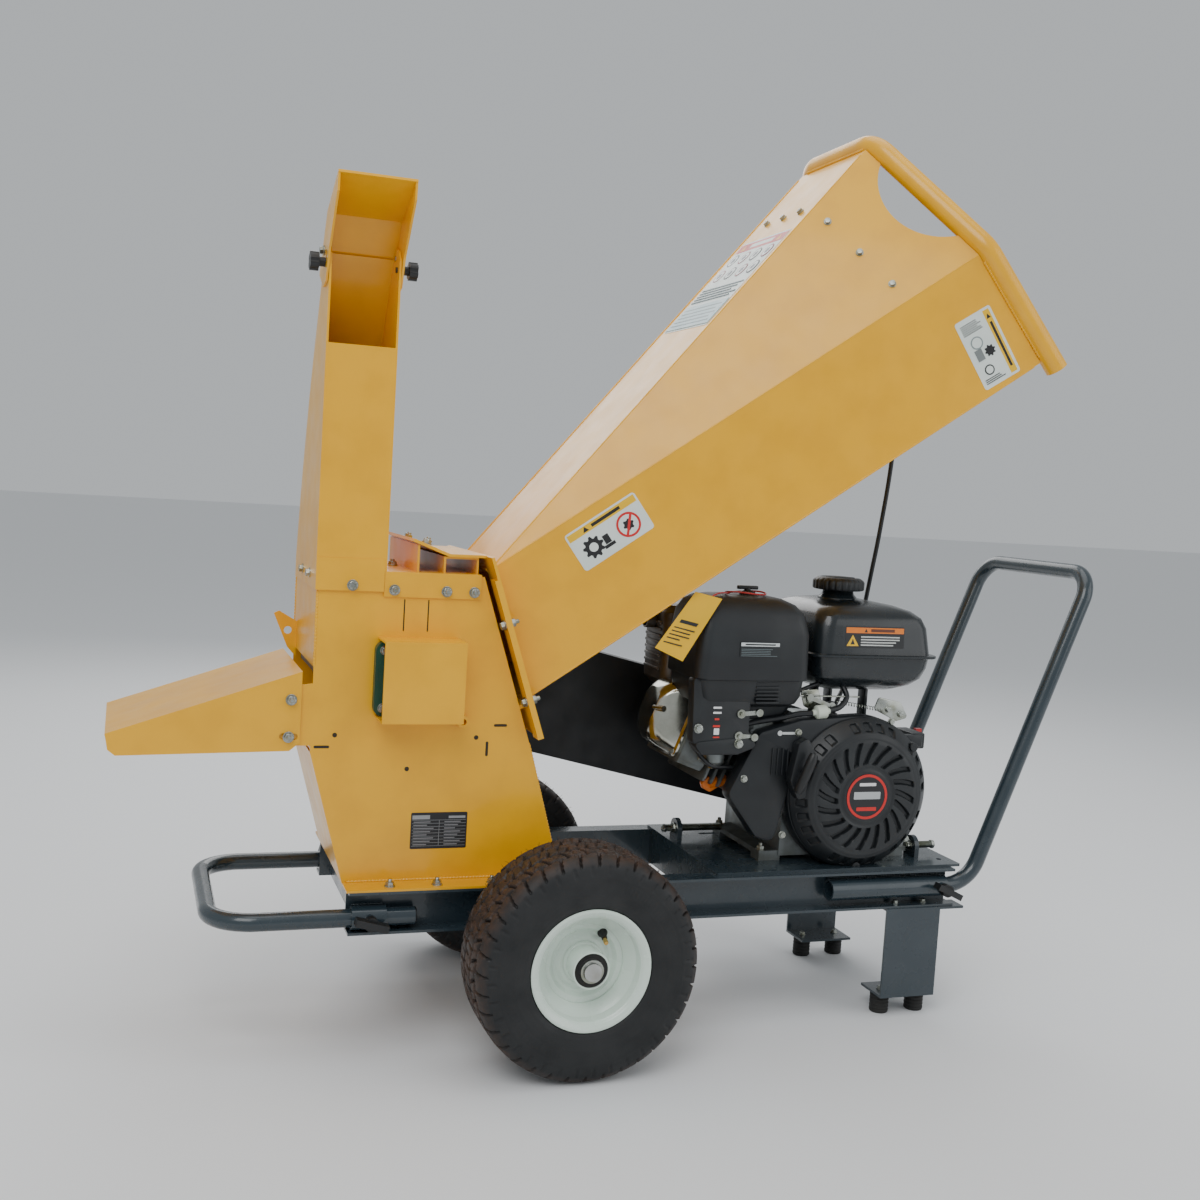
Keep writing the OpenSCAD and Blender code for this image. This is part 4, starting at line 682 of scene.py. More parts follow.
# ---- engine ----
def build_recoil():
    """Recoil cover: a dome r -> y turned about the crank, with slanted slots pressed into it,
    and its disc and grip.
    """
    n, m = 480, 96
    rr = np.concatenate([np.linspace(0.5, 101, 64), np.linspace(101.5, 124, m - 64)])
    theta = np.arange(n) * 2 * math.pi / n
    r, t = np.broadcast_to(rr, (n, m)).copy(), np.broadcast_to(theta[:, None], (n, m))
    y = np.where(r < 101, -160 + 4.5 * step(r, 84, 101),
                 -155.5 + 23.5 * (np.maximum(r - 101, 0) / 23) ** 1.25)
    y = y + 1.6 * (1 - step(np.abs(r - 46), 2.0, 4.5)) - 1.2 * (1 - step(np.abs(r - 96), 1.5, 4.0))
    swirl = (t * 20 / (2 * math.pi) + (r - 50) * 0.022) % 1.0
    wide = np.abs(swirl - 0.5) * (2 * math.pi * r / 20)
    slot = (1 - step(wide, 3.6, 4.8)) * step(r, 52, 55) * (1 - step(r, 86, 89))
    side_slot = ((t * 30 / (2 * math.pi)) % 1.0)
    rim = (1 - step(np.abs(side_slot - 0.5) * (2 * math.pi * r / 30), 5.0, 6.6)) * step(r, 103.5,
        105) * (1 - step(r, 116, 118))
    rim = rim * ((t * 30 / (2 * math.pi)) // 1 % 5 != 4)
    y = y + 7.0 * slot + 5.0 * rim
    p = np.stack([CRANK[0] + r * np.cos(t), y, CRANK[1] + r * np.sin(t)], -1)
    back = np.stack([CRANK[0] + 124 * np.cos(theta), np.full(n, -128.3),
                     CRANK[1] + 124 * np.sin(theta)], -1)
    p = np.concatenate([p, back[:, None]], 1)
    cover = Shape().grid(p)
    ear = np.array([(383, 452), (399, 462), (412, 440), (404, 366), (388, 360), (372, 392)], float)
    cover.prism(fillet(ear, 7), -152, -132, on_y(0), 2.5)
    for a in (40, 155, 270):
        c = (CRANK[0] + 119 * math.cos(math.radians(a)), -140, CRANK[1] + 119 * math.sin(math.radians(a)))
        cover.revolve(fillet([(0.2, -8), (8, -8), (7, 4), (0.2, 4)], 1), c, (0, -1, 0), 24)
    cover.make("recoil_cover_shell", "machine", "moulded_black", "moulded_black", ("recoil_cover",), 40)
    holes = Shape()
    holes.revolve([(50, -153.6), (92, -153.4), (92, -150), (50, -150)],
                  (CRANK[0], 0, CRANK[1]), (0, 1, 0), 64, True)
    holes.make("recoil_screen", "machine", "satin_black", "satin_black")
    disc = Shape()
    at = (CRANK[0], 0, CRANK[1])
    black, red, white = (0.012, 0.012, 0.014), (0.62, 0.02, 0.015), (0.75, 0.75, 0.75)
    disc.revolve([(0.2, 160), (36, 160), (36, 160.5), (0.2, 160.5)], at, (0, -1, 0), 72, ink=black)
    disc.revolve([(32.4, 160.4), (36.6, 160.4), (36.6, 160.9), (32.4, 160.9)], at,
                 (0, -1, 0), 72, True, ink=red)
    for w, z, h, ink in ((30, 20, 5, white), (48, 2, 12, (0.45, 0.47, 0.48)), (36, -20, 6, red)):
        disc.prism(rounded_rect(CRANK[0] - w / 2, CRANK[0] + w / 2, CRANK[1] + z - h / 2,
                                CRANK[1] + z + h / 2, 1.2, 3), -160.8, -160.4, on_y(0), ink=ink)
    disc.make("recoil_disc", "machine", "moulded_black", "print")
    # D grip of the starter, leaning as the cover's ear does
    turn = math.radians(-110)
    out = np.array((math.cos(turn), math.sin(turn), 0.0))
    across = unit((-math.sin(turn) * 0.336, math.cos(turn) * 0.336, 0.942))
    centre = np.array((396.0, -151.0, 408.0))
    grip = Shape()
    line = smooth_line([centre + out * 20 + across * k * 30 + out * (-3.0 * k * k)
                        for k in (-1.1, -0.6, 0, 0.6, 1.1)], 8)
    grip.tube(line, 8.2 - 2.0 * np.abs(np.linspace(-1, 1, len(line))) ** 6, 20)
    grip.tube([centre + out * 2.5, centre + out * 9, centre + out * 18], (5, 6.2, 7.4), 18)
    grip.make("starter_grip", "recoil_handle", "moulded_black", "knob_plastic", ("recoil_handle",))
    rope = Shape().tube([centre + out * k for k in np.linspace(-10, 5, 16)],
                        bpy.context.scene.chipper_look.rope * 500, 10)
    piece = rope.make("starter_rope", "machine", "cable_rubber", "white_plastic")
    piece.parent = None
    piece.matrix_parent_inverse = Matrix.Identity(4)
    del piece["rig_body"]
    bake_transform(piece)


def build_shroud():
    """Fan shroud: one outline drawn out in Y with rolled edges, with its ribs, screws and switch box."""
    arc = [(CRANK[0] + 126 * math.cos(a), CRANK[1] + 126 * math.sin(a))
           for a in np.radians(np.arange(96, -215, -7.0))]
    outline = fillet([(276, 366), (326, 466), (398, 486), *arc, (362, 286), (330, 296)], 14, 5)
    shape = Shape()
    shape.prism(outline, -128, -97, on_y(0), 5)
    shape.box((596, -116, 438), (632, -99, 458), 4)
    shape.box((616, -108, 434), (641, -49, 460), 4)
    shape.box((448, -112, 476), (462, -108, 514), 1.5)
    for x in np.arange(348, 396, 9.0):
        shape.box((x, -130.5, 398), (x + 3, -127, 440), 1)
    shape.make("fan_shroud_shell", "machine", "satin_black", "satin_black", ("fan_shroud",), 30)
    bolts = Shape()
    for x, z in ((302, 392), (392, 466), (376, 300), (560, 484), (622, 400), (604, 288)):
        bolts.bolt((x, -128, z), (0, -1, 0), 6)
    bolts.revolve([(0.2, 0), (3, 0), (3, 11), (0.2, 11)], (455, -108, 506), (0, -1, 0), 16)
    bolts.make("shroud_screws", "machine", "zinc", "zinc")
    mark = Shape()
    mark.prism(rounded_rect(364, 395, 462.6, 466.6, 1.6), -128.5, -127.8, on_y(0), ink=(0.6, 0.62, 0.62))
    mark.prism(circle(4.2, 16) + (360, 464.6), -128.5, -127.8, on_y(0), ink=(0.6, 0.62, 0.62))
    mark.make("shroud_mark", "machine", "satin_black", "print")


def build_tank():
    """Fuel tank: rounded rectangles lofted up to a shoulder, with the flange of its seam,
    a neck and a knurled cap.
    """
    def at(z, x0, x1, y0, y1, r):
        q = rounded_rect(x0, x1, y0, y1, r, 8)
        return np.column_stack([q, np.full(len(q), z)])
    x0, x1, y0, y1 = 412, 645, -132, 112
    shape = Shape()
    shape.loft([at(590, x0 + 9, x1 - 9, y0 + 8, y1 - 8, 24),
                at(636, x0 + 12, x1 - 16, y0 + 11, y1 - 11, 26),
                at(652, x0 + 16, x1 - 24, y0 + 15, y1 - 15, 28),
                at(662, x0 + 24, x1 - 38, y0 + 24, y1 - 24, 30),
                at(669, x0 + 40, x1 - 60, y0 + 42, y1 - 42, 32),
                at(674, x0 + 66, x1 - 92, y0 + 68, y1 - 68, 34),
                at(677, x0 + 84, x1 - 112, y0 + 88, y1 - 88, 30)])
    shape.loft([at(587, x0 + 1.5, x1 - 1.5, y0 + 1.5, y1 - 1.5, 26), at(587.8, x0, x1, y0, y1, 26),
                at(591.2, x0, x1, y0, y1, 26), at(592, x0 + 1.5, x1 - 1.5, y0 + 1.5, y1 - 1.5, 26)])
    shape.loft([at(588, x0 + 9, x1 - 10, y0 + 8, y1 - 8, 24), at(570, x0 + 11, x1 - 12, y0 + 9, y1 - 9, 26),
                at(552, x0 + 15, x1 - 18, y0 + 14, y1 - 14, 28),
                at(540, x0 + 26, x1 - 30, y0 + 26, y1 - 26, 28),
                at(530, x0 + 44, x1 - 50, y0 + 46, y1 - 46, 28)])
    shape.revolve([(0.2, 668), (34, 668), (33, 676), (27, 682), (25, 688), (0.2, 688)],
                  (505, -20, 0), Z_AXIS, 64)
    for x in (455, 548):
        for y in (-60, 60):
            shape.box((x, y, 462), (x + 6, y + 24, 532), 1.5)
    shape.make("fuel_tank_shell", "machine", "gloss_black", "gloss_black", ("fuel_tank",), 30)
    cap, n = Shape(), 192
    t = np.arange(n) * 2 * math.pi / n
    lobes = 1.6 * np.cos(t * 24) * (np.cos(t * 24) < 0.2)
    rings = []
    for r, z, k in ((38, 0, 0), (42, 1, 1), (43, 3, 1), (43, 14, 1), (41, 17, 0.5), (36, 20.4, 0),
                    (30, 21.4, 0), (28, 20.2, 0), (0.3, 19.6, 0)):
        q = r + k * lobes
        rings.append(np.column_stack([505 + q * np.cos(t), -20 + q * np.sin(t), np.full(n, 688.8 + z)]))
    cap.loft(rings)
    cap.box((477, -25, 707), (533, -15, 710.6), 2)
    cap.make("fuel_cap_knurled", "fuel_cap", "moulded_black", "moulded_black", ("fuel_cap",), 40)


def build_airbox():
    """Air-cleaner box: lofted lid and pan with a seam, ribs under it and a knob; red tie and yellow tag."""
    def at(z, x0, x1, y0, y1, r):
        q = rounded_rect(x0, x1, y0, y1, r, 8)
        return np.column_stack([q, np.full(len(q), z)])
    shape = Shape()
    shape.loft([at(551, 205, 397, -147, -7, 20), at(553, 204, 398, -148, -6, 20),
                at(622, 205, 397, -147, -7, 20),
                at(652, 208, 392, -142, -11, 24), at(668, 214, 380, -132, -20, 28),
                at(676, 224, 362, -118, -32, 26),
                at(680, 240, 340, -100, -50, 22)])
    shape.loft([at(550, 209, 393, -143, -11, 18), at(524, 212, 391, -140, -14, 18),
                at(512, 218, 386, -134, -20, 18),
                at(506, 230, 374, -122, -32, 14)])
    for z in (546, 540, 534, 528, 522, 516):
        shape.box((306, -143.6, z - 1.6), (346, -138, z + 1.2), 0.7)
    shape.loft([at(508, 284, 388, -116, -36, 16), at(490, 292, 380, -108, -40, 14),
                at(466, 296, 376, -100, -44, 12)])
    shape.revolve(fillet([(0.2, 0), (13, 0), (13, 5), (5, 8), (5, 12), (0.2, 13)], 1.0),
                  (310, -77, 679), Z_AXIS, 32)
    shape.box((292, -81, 688), (328, -73, 694), 2.5)
    shape.make("air_cleaner_box", "machine", "moulded_black", "moulded_black", ("air_cleaner",), 30)
    tie = Shape()
    t = np.linspace(0, 2 * math.pi, 40)
    tie.tube(np.column_stack([300 + 34 * np.cos(t), -92 + 20 * np.sin(t),
                              684 + 1.5 * np.sin(2 * t)])[:-1], 1.4, 8)
    tie.tube(smooth_line([(268, -100, 683), (240, -124, 684), (220, -138, 678),
                          (208, -142, 670)], 6), 1.3, 8)
    tie.make("tag_tie", "machine", "red_plastic", "red_plastic")
    tag = Shape()
    a, b, c, d = (np.array(q, float)
                  for q in ((193, -140, 686), (234, -149.5, 677), (174, -152, 580), (131, -143, 599)))
    n = unit(np.cross(b - a, d - a))
    if n[1] > 0:
        n = -n
    down = unit(d - a)
    ink = (0.80, 0.46, 0.01)
    face = [a, b, c, d]
    tag.add([p + n * k for k in (0, 0.8) for p in face],
            [[0, 1, 2, 3], [7, 6, 5, 4], [0, 4, 5, 1], [1, 5, 6, 2], [2, 6, 7, 3], [3, 7, 4, 0]], ink)
    black = (0.02, 0.02, 0.02)
    for s, w0, w1, h in ((0.47, 0.18, 0.82, 6), (0.60, 0.12, 0.88, 2), (0.66, 0.12, 0.80, 2),
                         (0.72, 0.12, 0.86, 2), (0.78, 0.12, 0.6, 2), (0.86, 0.12, 0.8, 2)):
        o = a + (d - a) * s
        e = unit(b - a) * np.linalg.norm(b - a)
        q = [o + e * w0, o + e * w1, o + e * w1 + down * h, o + e * w0 + down * h]
        tag.add([p + n * k for k in (0.7, 1.0) for p in q],
                [[0, 1, 2, 3], [7, 6, 5, 4], [0, 4, 5, 1], [1, 5, 6, 2], [2, 6, 7, 3], [3, 7, 4, 0]], black)
    tag.make("caution_tag", "machine", "moulded_black", "print", flat=True)


def along_barrel(x, y, h):
    """Point at height h along the cylinder's axis, x across it upwards, y along the crank."""
    s, c = math.sin(BARREL_LEAN), math.cos(BARREL_LEAN)
    x, y, h = (np.asarray(v, float) for v in (x, y, h))
    return np.stack([CRANK[0] - h * c + x * s, y + 0 * h, CRANK[1] + h * s + x * c], -1)


def build_cylinder():
    """Valve cover as rounded rectangles lofted along the barrel, with its bolts, plug and
    lead, and cooling fins.
    """
    def at(h, x0, x1, y0, y1, r):
        q = rounded_rect(x0, x1, y0, y1, r, 6)
        return along_barrel(q[:, 0], q[:, 1], np.full(len(q), float(h)))
    cover = Shape()
    cover.loft([at(290, -62, 62, -60, 44, 14), at(296, -62, 62, -60, 44, 14), at(299, -58, 58, -56, 40, 16),
                at(322, -55, 55, -50, 34, 18),
                at(334, -50, 50, -46, 30, 20), at(342, -40, 42, -42, 27, 20),
                at(348, -26, 32, -36, 22, 18)])
    cover.tube([along_barrel(0, 0, 330), along_barrel(0, -30, 346), along_barrel(4, -52, 340)], 5, 12)
    cover.make("valve_cover_pressed", "machine", "polished_alloy", "polished_alloy", ("valve_cover",), 30)
    parts = Shape()
    for x, y in ((-52, -50), (52, -50), (-52, 34), (52, 34)):
        parts.bolt(along_barrel(x, y, 297), (-math.cos(BARREL_LEAN), 0, math.sin(BARREL_LEAN)), 6)
    for x, y, z, d in ((300, -66, 402, 7), (330, -90, 436, 6), (348, -92, 418, 6), (372, -94, 452, 6)):
        parts.bolt((x, y, z), (0, -1, 0), d)
    parts.make("cylinder_bolts", "machine", "zinc", "zinc")
    fins = Shape()
    for h in range(110, 240, 14):
        fins.loft([at(h, -80, 80, -76, 76, 10), at(h + 3.4, -80, 80, -76, 76, 10)])
    fins.loft([at(244, -67, 67, -67, 67, 12), at(289, -67, 67, -67, 67, 12)])
    fins.make("cylinder_fins", "machine", "cast_alloy", "cast_alloy")
    plug = Shape()
    head = along_barrel(-20, -66, 274)
    plug.revolve([(0.2, 0), (9, 0), (9, 6), (6, 8), (6, 22), (0.2, 24)], head, (-0.3, -1, 0), 20)
    plug.tube(smooth_line([head + (-6, -20, 0), head + (-14, -34, -10), head + (8, -40, -34),
                           head + (44, -34, -40), (372, -96, 400)], 8), 3.4, 12)
    plug.make("spark_lead", "machine", "cable_rubber", "cable_rubber")


def build_carburettor():
    """Carburettor, control cover with its levers' marks, dipstick, fuel filter, hoses, rod and springs."""
    cast = Shape()
    cast.revolve(fillet([(0.2, 446), (24, 446), (24, 440), (19, 436), (19, 414), (15, 408), (0.2, 408)], 2,
                        3), (262, -92, 0), Z_AXIS, 48)
    cast.box((236, -112, 446), (290, -72, 500), 6)
    cast.revolve([(0.2, 0), (15, 0), (15, 34), (0.2, 34)], (290, -92, 476), (1, 0, 0), 32)
    cast.box((318, -104, 452), (362, -76, 486), 5)
    cast.make("carburettor", "machine", "cast_alloy", "cast_alloy")
    cover = Shape()
    cover.prism(fillet([(202, 554), (302, 554), (302, 468), (308, 462), (306, 446), (284, 440), (226, 440),
                        (206, 452)], 8, 5), -136, -112, on_y(0), 3)
    cover.prism(fillet([(206, 452), (308, 462), (316, 444), (284, 432), (222, 432)], 6, 4),
                -138, -108, on_y(0), 2.5)
    cover.make("control_cover_moulded", "machine", "moulded_black", "moulded_black", ("control_cover",), 35)
    marks = Shape()
    white, red = (0.8, 0.8, 0.8), (0.7, 0.03, 0.02)
    for x0, x1, z0, z1, ink in ((238, 252, 505, 508, white), (238, 252, 497, 500, white),
                                (241, 249, 487, 490, red), (239, 251, 476, 479, red),
                                (241, 250, 464, 474, white), (240, 251, 459, 461, red)):
        marks.prism(rounded_rect(x0, x1, z0, z1, 0.8, 2), -136.6, -135.8, on_y(0), ink=ink)
    marks.make("control_marks", "machine", "moulded_black", "print")
    zinc = Shape()
    for x, z in ((214, 474), (284, 450)):
        zinc.bolt((x, -137.5, z), (0, -1, 0), 7.5)
    zinc.bolt((262, -92, 408), (0, 0, -1), 7)
    zinc.bolt((241, -92, 418), (-1, 0, 0), 5)
    for x, z in ((286, 497), (284, 462)):
        zinc.revolve([(0.2, 0), (3.0, 0), (3.0, 6), (0.2, 6.4)], (x, -135.5, z), (0, -1, 0), 16)
    zinc.tube(smooth_line([(300, -110, 524), (360, -110.5, 523), (430, -110, 522),
                           (508, -110, 521)], 6), 1.3, 10)
    for x0, z0, x1, z1 in ((300, 516, 372, 508), (470, 512, 560, 498)):
        s = np.linspace(0, 1, 260)
        turns = s * 2 * math.pi * 18
        on = np.clip(np.minimum(s, 1 - s) * 12, 0, 1)
        coil = np.column_stack([x0 + (x1 - x0) * s, -104 + 3.0 * on * np.cos(turns),
                                z0 + (z1 - z0) * s + 3.0 * on * np.sin(turns)])
        zinc.tube(coil, 0.55, 6)
    zinc.prism(fillet([(330, 526), (372, 538), (398, 520), (392, 506), (346, 510)], 5, 3),
               -100, -97, on_y(0), 0.8)
    zinc.prism(fillet([(548, 520), (590, 512), (606, 486), (584, 480), (540, 500)], 5, 3),
               -106, -103, on_y(0), 0.8)
    zinc.prism(fillet([(404, 530), (436, 532), (446, 508), (430, 496), (412, 504)], 5, 3),
               -104, -101, on_y(0), 0.8)
    for x, z in ((352, 524), (420, 514), (566, 500), (590, 492)):
        zinc.bolt((x, -106, z), (0, -1, 0), 5.5)
    zinc.make("linkage", "machine", "zinc", "zinc")
    dip = Shape()
    dip.prism(fillet([(258, 372), (270, 382), (286, 378), (288, 364), (274, 356),
                      (262, 362)], 5, 4), -66, -54, on_y(0), 2)
    dip.tube([(272, -60, 370), (300, -60, 374), (330, -58, 380)], 9, 20)
    dip.make("oil_dipstick", "machine", "red_plastic", "orange_plastic")
    white_p = Shape()
    white_p.revolve(fillet([(0.2, -14), (5, -14), (5, -9), (11, -7), (11, 10), (5, 12), (5, 17), (0.2, 17)],
                           1.5, 3), (432, -122, 498), (1, 0, 0.1), 40)
    white_p.make("fuel_filter", "machine", "moulded_black", "white_plastic")
    hose = Shape()
    hose.tube(smooth_line([(448, -121, 500), (470, -118, 506), (486, -108, 522),
                           (480, -90, 546)], 8), 4.6, 16)
    hose.tube(smooth_line([(418, -122, 496), (396, -118, 494), (366, -112, 486), (320, -108, 478),
                           (286, -104, 466)], 8), 4.6, 16)
    hose.tube(smooth_line([(360, -90, 500), (388, -96, 520), (430, -92, 536), (470, -80, 545)], 8), 3.4, 12)
    hose.make("fuel_hoses", "machine", "cable_rubber", "cable_rubber")


def build_muffler():
    """Muffler with a guard of louvres and its outlet pipe."""
    def at(z, x0, x1, y0, y1, r):
        q = rounded_rect(x0, x1, y0, y1, r, 8)
        return np.column_stack([q, np.full(len(q), z)])
    shape = Shape()
    shape.loft([at(512, 226, 386, 34, 120, 18), at(524, 216, 396, 24, 130, 22),
                at(636, 216, 396, 24, 130, 22), at(648, 226, 386, 34, 120, 18)])
    shape.revolve(fillet([(11, 0), (14, 0), (14, 20), (11, 20)], 0.8), (199, 80, 620), (1, 0, 0), 40, True)
    for z in np.arange(538, 626, 11.0):
        shape.box((244, 129, z), (368, 133, z + 5), 1.6)
        shape.box((213, 44, z), (218, 110, z + 5), 1.6)
    shape.box((290, 40, 470), (330, 80, 514), 4)
    shape.make("muffler_guard", "machine", "heat_steel", "heat_steel", ("muffler",), 35)


# ---- hopper, chute and housing ----
LOW, TOP = np.array((-58.0, -101.0, 510.0)), np.array((-123.0, -101.0, 702.0))
MOUTH_SIDE, MOUTH_TOP = np.array((578.0, -244.0, 1222.0)), np.array((448.0, -106.0, 1389.0))
SIDE_N = np.array((-0.16068, -0.98551, -0.05440))  # outward from the hopper's side sheet
ROOF_N = np.array((-0.76905, 0.0, 0.63919))
MOUTH_LOW_Y = -(101 + (0.16068 * 756 + 0.0544 * 560) / 0.98551)
MOUTH_LOW = np.array((698.0, MOUTH_LOW_Y, 1070.0))
FLIP = np.array((1.0, -1.0, 1.0))
CHAMFER_N = -unit(np.cross(MOUTH_SIDE - TOP, MOUTH_TOP - TOP))
if CHAMFER_N[1] > 0:
    CHAMFER_N = -CHAMFER_N


def build_hopper():
    """Tube round the mouth as one bent line, its welds and end caps, the curtain cut into strips,
    and its clamp.
    """
    out = np.array((math.cos(math.radians(38)), 0, math.sin(math.radians(38)))) * 16
    side, top = MOUTH_SIDE + out, MOUTH_TOP + out
    end = MOUTH_LOW + out + 24 * unit(MOUTH_LOW - MOUTH_SIDE)
    line = fillet([end, side, top, top * FLIP, side * FLIP, end * FLIP], 55, 12, closed=False)
    tube = Shape().tube(line, 17, 36)
    for a, b in ((MOUTH_LOW, MOUTH_SIDE), (MOUTH_TOP, MOUTH_TOP * FLIP)):
        for k in (1, -1) if a[1] * b[1] > 0 else (1,):
            flip = FLIP if k < 0 else np.ones(3)
            s = a * flip + (b - a) * flip * 0.04
            e = a * flip + (b - a) * flip * 0.93
            tube.bead(s, e, 2.6, lift=(-1.0, -1.5 * k if a[1] * b[1] > 0 else 0, 0.5))
    tube.make("mouth_tube", "machine", "yellow_paint", "yellow_paint", ("hopper_lip_tube",), 60)
    caps = Shape()
    for flip in (np.ones(3), FLIP):
        way = unit((MOUTH_LOW - MOUTH_SIDE) * flip)
        caps.revolve([(0.2, -6), (14.4, -6), (14.4, 0), (16.8, 0.2), (16.8, 1.6), (15, 2.4), (0.2, 2.6)],
                     end * flip - way * 2.6, way, 32)
    caps.make("mouth_tube_caps", "machine", "moulded_black", "moulded_black")
    # curtain: strips that share the top band, each hanging slightly out of plane
    look = bpy.context.scene.chipper_look
    strips, x0, z0 = Shape(), 366.0, 1276.0
    for i in range(look.strips):
        u0, u1 = -1 + 2 * i / look.strips, -1 + 2 * (i + 1) / look.strips
        s = np.linspace(0, 1, 24)
        half = np.interp(s * 420, [0, 205, 420], [86, 114, 143])
        cut = 0.8 * step(s, 0.08, 0.12)
        bow = 2.5 * math.sin(i * 2.1) * s ** 2 + 5.0 * s * (1 - s)
        a = np.column_stack([x0 + bow, half * u0 + cut, z0 - 420 * s])
        b = np.column_stack([x0 + bow, half * u1 - cut, z0 - 420 * s])
        rings = [a + (-1.5, 0, 0), b + (-1.5, 0, 0), b + (1.5, 0, 0), a + (1.5, 0, 0)]
        strips.grid(np.stack(rings, 0), True, False, True)
    strips.make("curtain_strips", "feed_curtain", "curtain_rubber", "curtain_rubber", ("feed_curtain",))
    seams = Shape()
    for k in (1, -1):
        flip = FLIP if k < 0 else np.ones(3)
        # rolled folds where the sheets meet, and welds at the throat flange
        for a, b in ((TOP, MOUTH_TOP), (TOP, MOUTH_SIDE), (LOW, MOUTH_LOW)):
            n = 60
            s = np.linspace(0.012, 0.985, n)[:, None]
            if b is MOUTH_TOP:
                s = np.linspace(0.012, 0.985, n)[:, None]
            seams.tube((a + (b - a) * s) * flip + (0, 1.0 * k, 0), 1.5, 10)
        seams.bead(LOW * flip, TOP * flip, 2.8, lift=(2.5, -1.5 * k, 0))
    seams.bead(TOP + (0, 6, 0), TOP * FLIP - (0, 6, 0), 2.8, lift=(0, 0, 2))
    seams.make("hopper_seams", "machine", "yellow_paint", "yellow_paint", angle=60)


def build_fasteners():
    """Every visible bolt: hexagon heads with washers, at the places of the CAD fasteners."""
    b = Shape()
    lean = math.radians(18.8)
    flange_x = np.array((math.cos(lean), 0, math.sin(lean)))
    flange_z = np.array((-math.sin(lean), 0, math.cos(lean)))
    corner = np.array((-123.0, 0, 700.0))
    for k in (-1, 1):
        for x in (-266, -190, -149):
            b.bolt((x, k * 125, 672), (0, k, 0), stub=2)
        for x in (-257, -188, -106):
            b.bolt((x, k * 150, 247), Z_AXIS, stub=4)
        for z in (-76, -196):
            at = corner + flange_z * z + (0, k * 134, 0)
            b.bolt(at + flange_x * 4.5, flange_x, stub=6)
            b.bolt(at - flange_x * 4.5, -flange_x)
        for p in ((-404, 513), (-406, 460)):
            b.bolt((p[0], k * 126, p[1]), (0, k, 0), stub=2)
            b.bolt((p[0], k * 119, p[1]), (0, -k, 0), 7)
            b.revolve([(0.2, 112), (4, 112), (4, 127), (0.2, 127)], (p[0], 0, p[1]), (0, k, 0), 20)
        for x in (580, 632):
            b.bolt((x, k * 151, 186), Z_AXIS, 6)
        for x in (573, 639):
            b.bolt((x, k * 138, 37), Z_AXIS, 6)
        for x, z in ((-41.5, -41.5), (41.5, -41.5), (-41.5, 41.5), (41.5, 41.5)):
            b.bolt((-236 + x, k * 136, 545 + z), (0, k, 0), 7, stub=2)
        u = unit(MOUTH_SIDE - MOUTH_TOP)
        v = np.cross(CHAMFER_N, u)
        inward = v if v @ (TOP - MOUTH_TOP) > 0 else -v
        flip = np.ones(3) if k < 0 else FLIP
        for s in (56, 129, 202):
            b.bolt((MOUTH_TOP + u * s + inward * 130) * flip, CHAMFER_N * flip, 6)
        b.bolt((-212, k * 72, 738), (0.34, 0, 0.94), stub=3)
        x = -377.7 if k < 0 else -278.2
        b.bolt((x + k * 4.1, -92, 1140), (k, 0, 0), 7)
        b.revolve([(0.2, -4), (4, -4), (4, 5), (0.2, 5)], (x, -92, 1140), (k, 0, 0), 20)
        for p in ((363, k * 82), (593, k * 82)):
            b.bolt((p[0], p[1], 264), Z_AXIS, stub=5)
        b.revolve(fillet([(12.5, 0), (17, 0), (17, 3.4), (12.5, 3.4)], 0.5, 2),
                  (0, k * 312.6, 165), (0, k, 0), 48, True)
    roof_v = unit(np.array((TOP - MOUTH_TOP)) * (1, 0, 1))
    for y in (-60, 0, 60):
        b.bolt(np.array((448.0, y, 1389.0)) + roof_v * 130, ROOF_N, 6)
    b.bolt((-245, 13, 698), Z_AXIS, stub=3)
    b.bolt((-326, -126, 677), (0, -1, 0))
    for y in (-60, 20):
        b.bolt((-377.7, y, 688), (-1, 0, 0), 7)
    # belt tensioners: threaded rods with lock nuts
    for y, x0, x1, ends, lugs in ((62, 254, 356, -1, (270, 278)), (-88, 630, 680, 1, (640, 648))):
        s = np.linspace(0, 1, int((x1 - x0) * 2))
        b.tube(np.column_stack([x0 + (x1 - x0) * s, np.full_like(s, y), np.full_like(s, 265.0)]),
               5.4 + 0.4 * np.cos(np.arange(len(s)) * math.pi), 20)
        b.bolt((x0 if ends < 0 else x1, y, 265), (ends, 0, 0), 9, washer=False)
        b.bolt((lugs[0], y, 265), (-1, 0, 0), 9)
        b.bolt((lugs[1], y, 265), (1, 0, 0), 9)
    b.make("fasteners", "machine", "zinc", "zinc", ("bolts",), 28)


